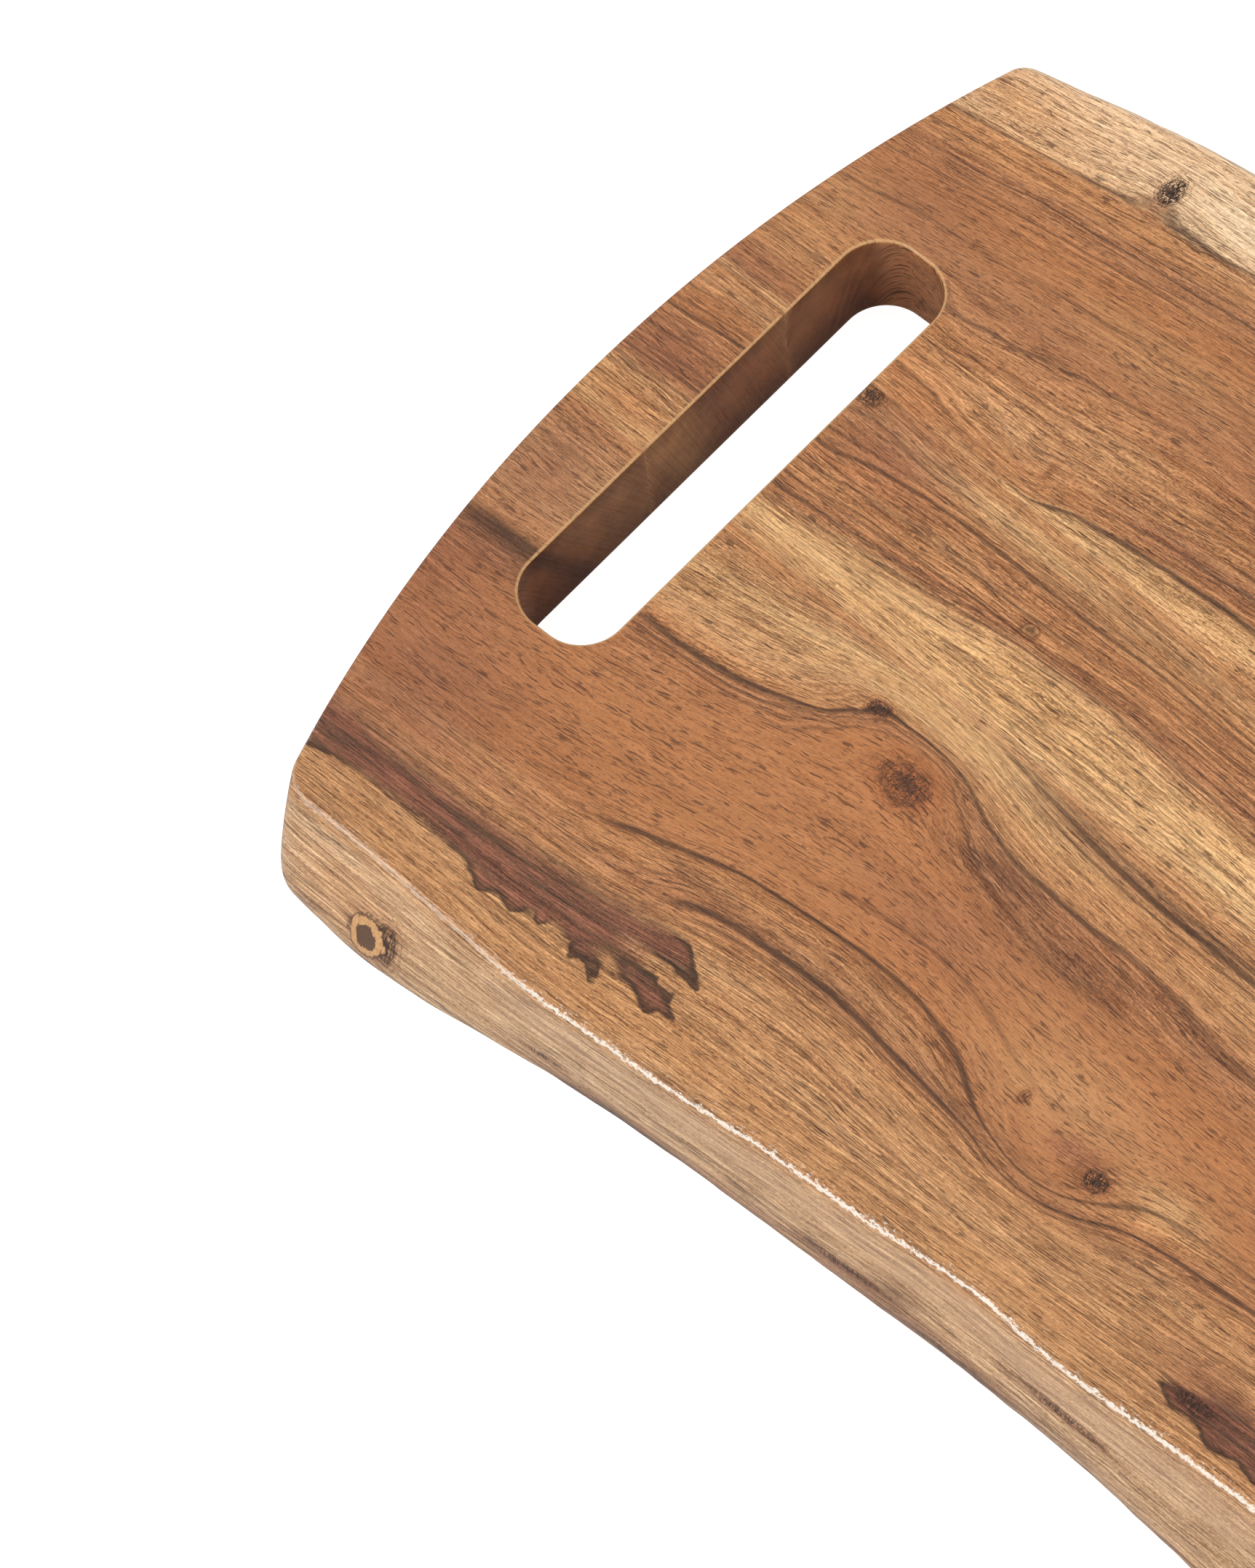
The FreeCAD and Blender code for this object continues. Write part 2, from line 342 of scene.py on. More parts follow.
@dataclass(frozen=True)
class Outline:
    """The curves of the board's outline, at any level, as paths of (x, y) points.

    Every path leaves out its last point, so that paths chain into a closed loop.
    """

    half_length: float = 254.0
    bow_radius: float = 391.0
    bow_centre_y: float = -3.8
    corner_round: Dict[Edge, float] = field(
        default_factory=lambda: {Edge.NEAR: 10.0, Edge.FAR: 6.0}
    )
    live: Dict[Edge, LiveEdge] = field(
        default_factory=lambda: {Edge.NEAR: NEAR_EDGE, Edge.FAR: FAR_EDGE}
    )
    glue_slope: float = -0.0358
    glue_y: Dict[Edge, float] = field(
        default_factory=lambda: {Edge.NEAR: -21.8, Edge.FAR: 26.6}
    )
    slot_centre_x: float = 215.55
    slot_centre_y: float = 2.0
    slot_half_length: float = 65.0
    slot_half_width: float = 13.65
    slot_round: float = 11.2
    spacing: float = 1.7
    # Rounded lengths of the paths, which only set how many points each one has.
    bar_run: float = 25.0
    stave_run: float = 404.0
    block_run: float = 48.4
    bow_run: float = 104.0
    live_run: float = 470.0

    def count(self, length: float) -> int:
        """Number of steps on a path of about this length."""
        return max(2, int(round(length / self.spacing)))

    def bow_x(self, end: End, y: np.ndarray, inset: float) -> np.ndarray:
        """Finds a bowed end.

        Args:
            end: Which end.
            y: Where across the board.
            inset: How far the rim draws the end in.

        Returns:
            Its X at y.
        """
        centre = end.value * (self.half_length - self.bow_radius)
        reach = np.sqrt((self.bow_radius - inset) ** 2 - (y - self.bow_centre_y) ** 2)
        return centre + end.value * reach

    def joint_y(self, joint: Edge, x: np.ndarray) -> np.ndarray:
        """Y of a glue line at x."""
        return self.glue_y[joint] + self.glue_slope * x

    def wall_x(self, end: End, side: int, inset: float) -> float:
        """X of a slot's straight wall; side is -1 for its left wall and 1 for its right."""
        return end.value * self.slot_centre_x + side * (self.slot_half_width + inset)

    def bow_at_joint(self, end: End, joint: Edge, inset: float) -> Point:
        """Finds where a bowed end crosses a glue line.

        Args:
            end: Which end.
            joint: Which glue line.
            inset: How far the rim draws the end in.

        Returns:
            The crossing.
        """
        y = self.glue_y[joint]
        for _ in range(6):
            x = float(self.bow_x(end, y, inset))
            y = float(self.joint_y(joint, x))
        return x, y

    def glue_path(self, joint: Edge, x_from: float, x_to: float, nominal: float) -> np.ndarray:
        """Points along a glue line.

        Args:
            joint: Which glue line.
            x_from: Where it starts.
            x_to: Where it ends.
            nominal: Its length without insets, which sets the number of points.

        Returns:
            The path.
        """
        x = np.linspace(x_from, x_to, self.count(nominal), endpoint=False)
        return np.stack([x, self.joint_y(joint, x)], 1)

    def wall_path(self, end: End, side: int, y_from: float, y_to: float, inset: float,
                  nominal: float) -> np.ndarray:
        """Points along a slot's straight wall."""
        y = np.linspace(y_from, y_to, self.count(nominal), endpoint=False)
        return np.stack([np.full(len(y), self.wall_x(end, side, inset)), y], 1)

    def slot_turn(self, end: End, edge: Edge, inset: float, side_from: int) -> np.ndarray:
        """Points around one end of a slot, from one straight wall to the other.

        Args:
            end: Which slot.
            edge: Which end of the slot.
            inset: How far the rim draws the wall back.
            side_from: -1 to start at the slot's left wall, 1 at its right.

        Returns:
            The path.
        """
        radius = self.slot_round + inset
        centre_y = self.turn_y(edge)
        offset = self.slot_half_width - self.slot_round
        parts = []
        for side, start, stop in ((side_from, 0.0, 90.0), (-side_from, 90.0, 0.0)):
            angle = np.radians(np.linspace(start, stop, 15))
            centre_x = end.value * self.slot_centre_x + side * offset
            x = centre_x + side * radius * np.cos(angle)
            y = centre_y + edge.value * radius * np.sin(angle)
            parts.append(np.stack([x, y], 1))
        flat = np.linspace(parts[0][-1], parts[1][0], 4)[1:-1]
        return np.concatenate([parts[0], flat, parts[1][:-1]])

    def turn_y(self, edge: Edge) -> float:
        """Y where a slot's straight walls meet the round of that end."""
        return self.slot_centre_y + edge.value * (self.slot_half_length - self.slot_round)

    def corner_centre(self, end: End, edge: Edge, level: Level) -> Tuple[float, float, float]:
        """Finds the round that touches both the bowed end and the live edge.

        Args:
            end: Which end of the board.
            edge: Which long side.
            level: Height in the thickness.

        Returns:
            The round's centre, and X where it touches the live edge.
        """
        radius = self.corner_round[edge]
        live = self.live[edge]
        origin = end.value * (self.half_length - self.bow_radius)
        # Any start near the corner closes in on the same place.
        touch = end.value * (self.half_length - 2.0 * radius)
        for _ in range(30):
            out_x, out_y = live.normal_at(touch, level.share)
            centre_y = float(live.y_at(touch, level.share)) - radius * float(out_y)
            reach = (self.bow_radius - radius) ** 2 - (centre_y - self.bow_centre_y) ** 2
            centre_x = origin + end.value * math.sqrt(reach)
            touch = centre_x + radius * float(out_x)
        return centre_x, centre_y, touch

    def corner_path(self, end: End, edge: Edge, level: Level, from_bow: bool) -> np.ndarray:
        """Points around a rounded corner of the board.

        Args:
            end: Which end of the board.
            edge: Which long side.
            level: Height in the thickness.
            from_bow: True to start at the bowed end, False at the live edge.

        Returns:
            The path.
        """
        centre_x, centre_y, touch = self.corner_centre(end, edge, level)
        origin = end.value * (self.half_length - self.bow_radius)
        bow_angle = math.atan2(centre_y - self.bow_centre_y, centre_x - origin)
        out_x, out_y = self.live[edge].normal_at(touch, level.share)
        live_angle = math.atan2(float(out_y), float(out_x))
        turn = (live_angle - bow_angle + math.pi) % math.tau - math.pi
        angle = bow_angle + turn * np.linspace(0.0, 1.0, 11)
        if not from_bow:
            angle = angle[::-1]
        radius = self.corner_round[edge] - level.inset
        points = np.stack([centre_x + radius * np.cos(angle), centre_y + radius * np.sin(angle)], 1)
        return points[:-1]

    def bow_touch_y(self, end: End, edge: Edge, level: Level) -> float:
        """Y where a bowed end meets a corner's round.

        Args:
            end: Which end of the board.
            edge: The corner's long side.
            level: Height in the thickness.

        Returns:
            The Y.
        """
        centre_x, centre_y, _ = self.corner_centre(end, edge, level)
        origin = end.value * (self.half_length - self.bow_radius)
        size = math.hypot(centre_x - origin, centre_y - self.bow_centre_y)
        share = (centre_y - self.bow_centre_y) / size
        return self.bow_centre_y + (self.bow_radius - level.inset) * share

    def bow_path(self, end: End, y_from: float, y_to: float, inset: float,
                 nominal: float) -> np.ndarray:
        """Points along a bowed end."""
        y = np.linspace(y_from, y_to, self.count(nominal), endpoint=False)
        return np.stack([self.bow_x(end, y, inset), y], 1)

    def live_path(self, edge: Edge, level: Level, forward: bool) -> np.ndarray:
        """Points along a live edge between its two corners, with bark chatter on the arris.

        Args:
            edge: Which long side.
            level: Height in the thickness.
            forward: True to go towards positive X.

        Returns:
            The path.
        """
        live = self.live[edge]
        left = self.corner_centre(End.LEFT, edge, level)[2]
        right = self.corner_centre(End.RIGHT, edge, level)[2]
        x = np.linspace(left, right, self.count(self.live_run) + 1)
        out_x, out_y = live.normal_at(x, level.share)
        fade = smooth_step(0.0, 14.0, x - left) * smooth_step(0.0, 14.0, right - x)
        edge_wear_and_painted_light = fade * live_edge_wear(edge, x, level)
        draw = level.inset + edge_wear_and_painted_light
        points = np.stack([x - draw * out_x, live.y_at(x, level.share) - draw * out_y], 1)
        if not forward:
            points = points[::-1]
        return points[:-1]


SWELL = Ripple(SEED, 74.0, squeeze=1.6)
BARK_SWELL = Ripple(SEED + 1, 21.0, squeeze=1.4)
BARK_CHATTER = Ripple(SEED + 2, 5.2, squeeze=1.2)
ARRIS_CHATTER = Ripple(SEED + 3, 4.2, squeeze=0.8)


def live_edge_wear(edge: Edge, x: np.ndarray, level: Level) -> np.ndarray:
    """How far the live edge is worn in from its ideal surface.

    Args:
        edge: Which long side.
        x: Places along it.
        level: Height in the thickness.

    Returns:
        Depth at each place in mm, never negative.
    """
    across = level.z + 60.0 * edge.value
    swell = 0.34 * (BARK_SWELL(x, across * 1.5) + 0.5)
    chatter = 0.10 * (BARK_CHATTER(x, across) + 0.6)
    arris = math.exp(-((level.z - (BOARD_TOP - 0.8)) / 1.3) ** 2)
    nicks = arris * 0.30 * (ARRIS_CHATTER(x, 30.0 * edge.value) + 0.5)
    return np.clip(swell, 0.0, None) + np.clip(chatter, 0.0, None) + np.clip(nicks, 0.0, None)


def levels_through_board() -> List[Level]:
    """Levels from the top face down to the underside, closer together on the rims.

    Returns:
        The levels, highest first.
    """
    turn = np.radians(np.linspace(0.0, 90.0, 6))
    top = [
        Level(BOARD_TOP - EDGE_ROUND * (1.0 - math.cos(a)), EDGE_ROUND * (1.0 - math.sin(a)))
        for a in turn
    ]
    walls = np.linspace(BOARD_TOP - EDGE_ROUND, BOARD_BOTTOM + EDGE_ROUND, 15)[1:-1]
    bottom = [
        Level(BOARD_BOTTOM + EDGE_ROUND * (1.0 - math.cos(a)), EDGE_ROUND * (1.0 - math.sin(a)))
        for a in turn[::-1]
    ]
    return top + [Level(float(z), 0.0) for z in walls] + bottom


OUTLINE = Outline()


def outer_stave_loop(edge: Edge, level: Level) -> np.ndarray:
    """The closed outline of the near or far stave at one level, anticlockwise.

    Args:
        edge: Which stave.
        level: Height in the thickness.

    Returns:
        Its (x, y) points.
    """
    o, inset = OUTLINE, level.inset
    # Walks the glue line with its two slot notches, then the outside of the stave. The
    # near stave's glue line is walked towards the left, the far stave's to the right.
    order = (End.RIGHT, End.LEFT) if edge is Edge.NEAR else (End.LEFT, End.RIGHT)
    first_side = 1 if edge is Edge.NEAR else -1
    x, _ = o.bow_at_joint(order[0], edge, inset)
    paths = []
    for index, end in enumerate(order):
        enter = o.wall_x(end, first_side, inset)
        leave = o.wall_x(end, -first_side, inset)
        nominal = o.bar_run if index == 0 else o.stave_run
        paths.append(o.glue_path(edge, x, enter, nominal))
        turn_y = o.turn_y(edge)
        deep = abs(turn_y - float(o.joint_y(edge, o.wall_x(end, first_side, 0.0))))
        paths.append(o.wall_path(end, first_side, o.joint_y(edge, enter), turn_y, inset, deep))
        paths.append(o.slot_turn(end, edge, inset, first_side))
        paths.append(o.wall_path(end, -first_side, turn_y, o.joint_y(edge, leave), inset, deep))
        x = leave
    last_x, last_y = o.bow_at_joint(order[1], edge, inset)
    paths.append(o.glue_path(edge, x, last_x, o.bar_run))
    touch_y = o.bow_touch_y(order[1], edge, level)
    paths.append(o.bow_path(order[1], last_y, touch_y, inset, o.bow_run))
    paths.append(o.corner_path(order[1], edge, level, from_bow=True))
    paths.append(o.live_path(edge, level, forward=edge is Edge.NEAR))
    paths.append(o.corner_path(order[0], edge, level, from_bow=False))
    _, first_y = o.bow_at_joint(order[0], edge, inset)
    touch_y = o.bow_touch_y(order[0], edge, level)
    paths.append(o.bow_path(order[0], touch_y, first_y, inset, o.bow_run))
    return np.concatenate(paths)


def middle_stave_loop(level: Level) -> np.ndarray:
    """The closed outline of the middle stave at one level, anticlockwise.

    Args:
        level: Height in the thickness.

    Returns:
        Its (x, y) points.
    """
    o, inset = OUTLINE, level.inset
    left = o.wall_x(End.LEFT, 1, inset)
    right = o.wall_x(End.RIGHT, -1, inset)
    near, far = o.joint_y(Edge.NEAR, right), o.joint_y(Edge.FAR, right)
    left_near, left_far = o.joint_y(Edge.NEAR, left), o.joint_y(Edge.FAR, left)
    return np.concatenate([
        o.glue_path(Edge.NEAR, left, right, o.stave_run),
        o.wall_path(End.RIGHT, -1, near, far, inset, o.block_run),
        o.glue_path(Edge.FAR, right, left, o.stave_run),
        o.wall_path(End.LEFT, 1, left_far, left_near, inset, o.block_run),
    ])


def bar_block_loop(end: End, level: Level) -> np.ndarray:
    """The closed outline of a handle's bar block at one level, anticlockwise.

    Args:
        end: Which handle.
        level: Height in the thickness.

    Returns:
        Its (x, y) points.
    """
    o, inset = OUTLINE, level.inset
    wall = o.wall_x(end, end.value, inset)
    near_x, near_y = o.bow_at_joint(end, Edge.NEAR, inset)
    far_x, far_y = o.bow_at_joint(end, Edge.FAR, inset)
    near_wall, far_wall = o.joint_y(Edge.NEAR, wall), o.joint_y(Edge.FAR, wall)
    if end is End.LEFT:
        return np.concatenate([
            o.glue_path(Edge.NEAR, near_x, wall, o.bar_run),
            o.wall_path(end, -1, near_wall, far_wall, inset, o.block_run),
            o.glue_path(Edge.FAR, wall, far_x, o.bar_run),
            o.bow_path(end, far_y, near_y, inset, o.block_run),
        ])
    return np.concatenate([
        o.glue_path(Edge.NEAR, wall, near_x, o.bar_run),
        o.bow_path(end, near_y, far_y, inset, o.block_run),
        o.glue_path(Edge.FAR, far_x, wall, o.bar_run),
        o.wall_path(end, 1, far_wall, near_wall, inset, o.block_run),
    ])


# ---------------------------------------------------------------- the wood's figure


@dataclass(frozen=True)
class GrainLine:
    """A line that one growth ring draws on the top face."""

    level: float
    points: Tuple[Point, ...]


@dataclass(frozen=True)
class Band:
    """The wood's tone at one ring level, and how lively its fine streaks are."""

    level: float
    tone: Tone
    life: float


@dataclass(frozen=True)
class Patch:
    """A soft-edged patch whose tone differs from its band's."""

    x: float
    y: float
    size_x: float
    size_y: float
    tone: Tone
    strength: float
    life: Optional[float] = None


@dataclass(frozen=True)
class Knot:
    """A knot: its place, its half sizes, and how it looks."""

    x: float
    y: float
    size_x: float
    size_y: float
    dark: float = 0.8
    red: float = 0.6
    crack: float = 0.0
    dip: float = 0.15
    eye: float = 0.0
    z: float = BOARD_TOP
    size_z: float = 60.0


@dataclass(frozen=True)
class InkLine:
    """A thin dark natural line that follows one ring level, and how it comes and goes."""

    level: float
    width: float
    strength: float
    gains: Tuple[Point, ...] = ((0.0, 1.0),)


@dataclass(frozen=True)
class Flame:
    """A dark heartwood streak: its outline, whose upper side fades and lower side is torn."""

    outline: Tuple[Point, ...]
    soft_side: float
    soft_until: float = 1000.0


class RingField:
    """Ring level over a stave, drawn smoothly through its grain lines.

    It also gives the flow of the fibres, which follows the rings more loosely.
    """

    SQUEEZE = 0.32
    RING_SMOOTHING = 0.6
    FLOW_SMOOTHING = 900.0
    SPACING = 9.0
    BATCH = 4000

    def __init__(self, lines: Sequence[GrainLine]) -> None:
        """Fits a thin plate through the lines.

        Args:
            lines: The stave's grain lines.
        """
        places, levels = [], []
        for line in lines:
            points = np.array(line.points, float)
            for start, stop in zip(points[:-1], points[1:]):
                steps = max(1, int(math.hypot(*(stop - start)) / self.SPACING))
                share = np.linspace(0.0, 1.0, steps, endpoint=False)[:, None]
                places.append(start + share * (stop - start))
            places.append(points[-1:])
            fresh = sum(map(len, places)) - sum(map(len, levels))
            levels.append(np.full(fresh, line.level))
        self.places = np.concatenate(places) * (self.SQUEEZE, 1.0)
        level = np.concatenate(levels)
        count = len(level)
        plane = np.concatenate([np.ones((count, 1)), self.places], 1)
        bare = np.block([[self.kernel(self.places), plane], [plane.T, np.zeros((3, 3))]])
        right = np.concatenate([level, np.zeros(3)])
        slack = np.diag(np.concatenate([np.ones(count), np.zeros(3)]))
        self.weights = np.stack([
            np.linalg.solve(bare + smoothing * slack, right)
            for smoothing in (self.RING_SMOOTHING, self.FLOW_SMOOTHING)
        ], 1)

    def kernel(self, at: np.ndarray) -> np.ndarray:
        """Thin-plate influence of every line point at every place.

        Args:
            at: Squeezed (x, y) places.

        Returns:
            One row per place, one column per line point.
        """
        square = ((at[:, None, :] - self.places[None, :, :]) ** 2).sum(2)
        return 0.5 * square * np.log(square + 1e-9)

    def __call__(self, x: np.ndarray, y: np.ndarray) -> np.ndarray:
        """Evaluates the ring level and the flow.

        Args:
            x: Places along the board.
            y: Places across it.

        Returns:
            One row per place: its ring level and its flow coordinate.
        """
        at = np.stack([x * self.SQUEEZE, y], 1)
        out = np.empty((len(at), 2))
        for start in range(0, len(at), self.BATCH):
            part = at[start : start + self.BATCH]
            value = self.kernel(part) @ self.weights[:-3]
            out[start : start + self.BATCH] = value + self.weights[-3] + part @ self.weights[-2:]
        return out


def inside_polygon(points: np.ndarray, polygon: np.ndarray) -> np.ndarray:
    """Tells which points lie inside a closed polygon.

    Args:
        points: The (x, y) points.
        polygon: The polygon's corners.

    Returns:
        One flag per point.
    """
    inside = np.zeros(len(points), bool)
    x, y = points[:, 0], points[:, 1]
    for (x1, y1), (x2, y2) in zip(polygon, np.roll(polygon, -1, 0)):
        if y1 == y2:
            continue
        crosses = (y1 > y) != (y2 > y)
        inside ^= crosses & (x < (x2 - x1) * (y - y1) / (y2 - y1) + x1)
    return inside


def depth_in_polygon(points: np.ndarray, polygon: np.ndarray) -> np.ndarray:
    """Distance of each point inside a closed polygon's sides, negative outside it.

    Args:
        points: The (x, y) points.
        polygon: The polygon's corners.

    Returns:
        One distance per point.
    """
    nearest = np.full(len(points), 1e9)
    for start, stop in zip(polygon, np.roll(polygon, -1, 0)):
        side = stop - start
        share = np.clip(((points - start) @ side) / (side @ side), 0.0, 1.0)
        gap = np.hypot(*(points - start - share[:, None] * side).T)
        nearest = np.minimum(nearest, gap)
    return np.where(inside_polygon(points, polygon), nearest, -nearest)


@dataclass
class Figure:
    """The whole figure of one stave: rings, tones, patches, knots, lines and flames."""

    lines: Tuple[GrainLine, ...]
    bands: Tuple[Band, ...]
    patches: Tuple[Patch, ...] = ()
    knots: Tuple[Knot, ...] = ()
    inks: Tuple[InkLine, ...] = ()
    flames: Tuple[Flame, ...] = ()
    lean: Tuple[float, float] = (0.5, 0.3)

    # How far from a flame's lowest point its soft upper side begins and is full, and over
    # what length it turns hard towards its tip.
    SOFT_FROM, SOFT_OVER, TIP_OVER = 4.0, 9.0, 16.0
    # Reach of a dark line's gain, in ring levels.
    GAIN_REACH = 1.2

    def __post_init__(self) -> None:
        """Fits the ring field."""
        self.rings = RingField(self.lines)

    def top_place(self, points: np.ndarray) -> Tuple[np.ndarray, np.ndarray]:
        """Follows the rings and knots up from points in the wood to the top face."""
        depth = BOARD_TOP - points[:, 2]
        return points[:, 0] + self.lean[0] * depth, points[:, 1] + self.lean[1] * depth

    def grain(self, points: np.ndarray) -> np.ndarray:
        """Along, ring and flow coordinates of the grain at points in the wood."""
        x, y = self.top_place(points)
        return np.column_stack([x, self.rings(x, y)])

    def tones(self, points: np.ndarray, level: np.ndarray) -> np.ndarray:
        """Broad colour and liveliness at points in the wood.

        Args:
            points: The points.
            level: Their ring levels.

        Returns:
            Linear colour in the first three columns and liveliness in the fourth.
        """
        x, y = self.top_place(points)
        bands = sorted(self.bands, key=lambda band: band.level)
        at = [band.level for band in bands]
        stops = np.array([[*band.tone.linear, band.life] for band in bands])
        colour = np.stack([np.interp(level, at, stops[:, i]) for i in range(4)], 1)
        for patch in self.patches:
            reach = ((x - patch.x) / patch.size_x) ** 2 + ((y - patch.y) / patch.size_y) ** 2
            share = (patch.strength * np.exp(-reach))[:, None]
            colour[:, :3] += share * (patch.tone.linear - colour[:, :3])
            if patch.life is not None:
                colour[:, 3:] += share * (patch.life - colour[:, 3:])
        return colour

    def flame_depth(self, points: np.ndarray) -> Tuple[np.ndarray, np.ndarray]:
        """Depth inside the nearest flame, and how softly it fades there.

        Args:
            points: Points in the wood.

        Returns:
            The depth, negative outside, and the softness.
        """
        x, y = self.top_place(points)
        flat = np.stack([x, y], 1)
        depth = np.full(len(points), -40.0)
        soft = np.ones(len(points))
        for flame in self.flames:
            polygon = np.array(flame.outline, float)
            this = depth_in_polygon(flat, polygon)
            low = polygon[:, 1].min() + self.SOFT_FROM
            rise = np.clip((y - low) / self.SOFT_OVER, 0.0, 1.0)
            rise = rise * smooth_step(flame.soft_until + self.TIP_OVER, flame.soft_until, x)
            soft = np.where(this > depth, 0.5 + flame.soft_side * rise, soft)
            depth = np.maximum(depth, this)
        return depth, soft

    def ink_gain(self, points: np.ndarray, level: np.ndarray) -> np.ndarray:
        """How strongly the nearest dark lines show at points in the wood.

        Args:
            points: The points.
            level: Their ring levels.

        Returns:
            The gain at each point.
        """
        x, _ = self.top_place(points)
        total, weight = np.zeros(len(x)), np.full(len(x), 1e-9)
        for ink in self.inks:
            near = np.exp(-((level - ink.level) / self.GAIN_REACH) ** 2)
            at, gain = zip(*ink.gains)
            total += near * np.interp(x, at, gain)
            weight += near
        return total / weight

    def dips(self, x: np.ndarray, y: np.ndarray) -> np.ndarray:
        """How deep the knots are dished below the planed face.

        Args:
            x: Places along the board.
            y: Places across it.

        Returns:
            The depth at each place.
        """
        total = np.zeros(len(x))
        for knot in self.knots:
            if knot.z == BOARD_TOP:
                reach = ((x - knot.x) / knot.size_x) ** 2 + ((y - knot.y) / knot.size_y) ** 2
                total += knot.dip * np.exp(-reach)
        return total


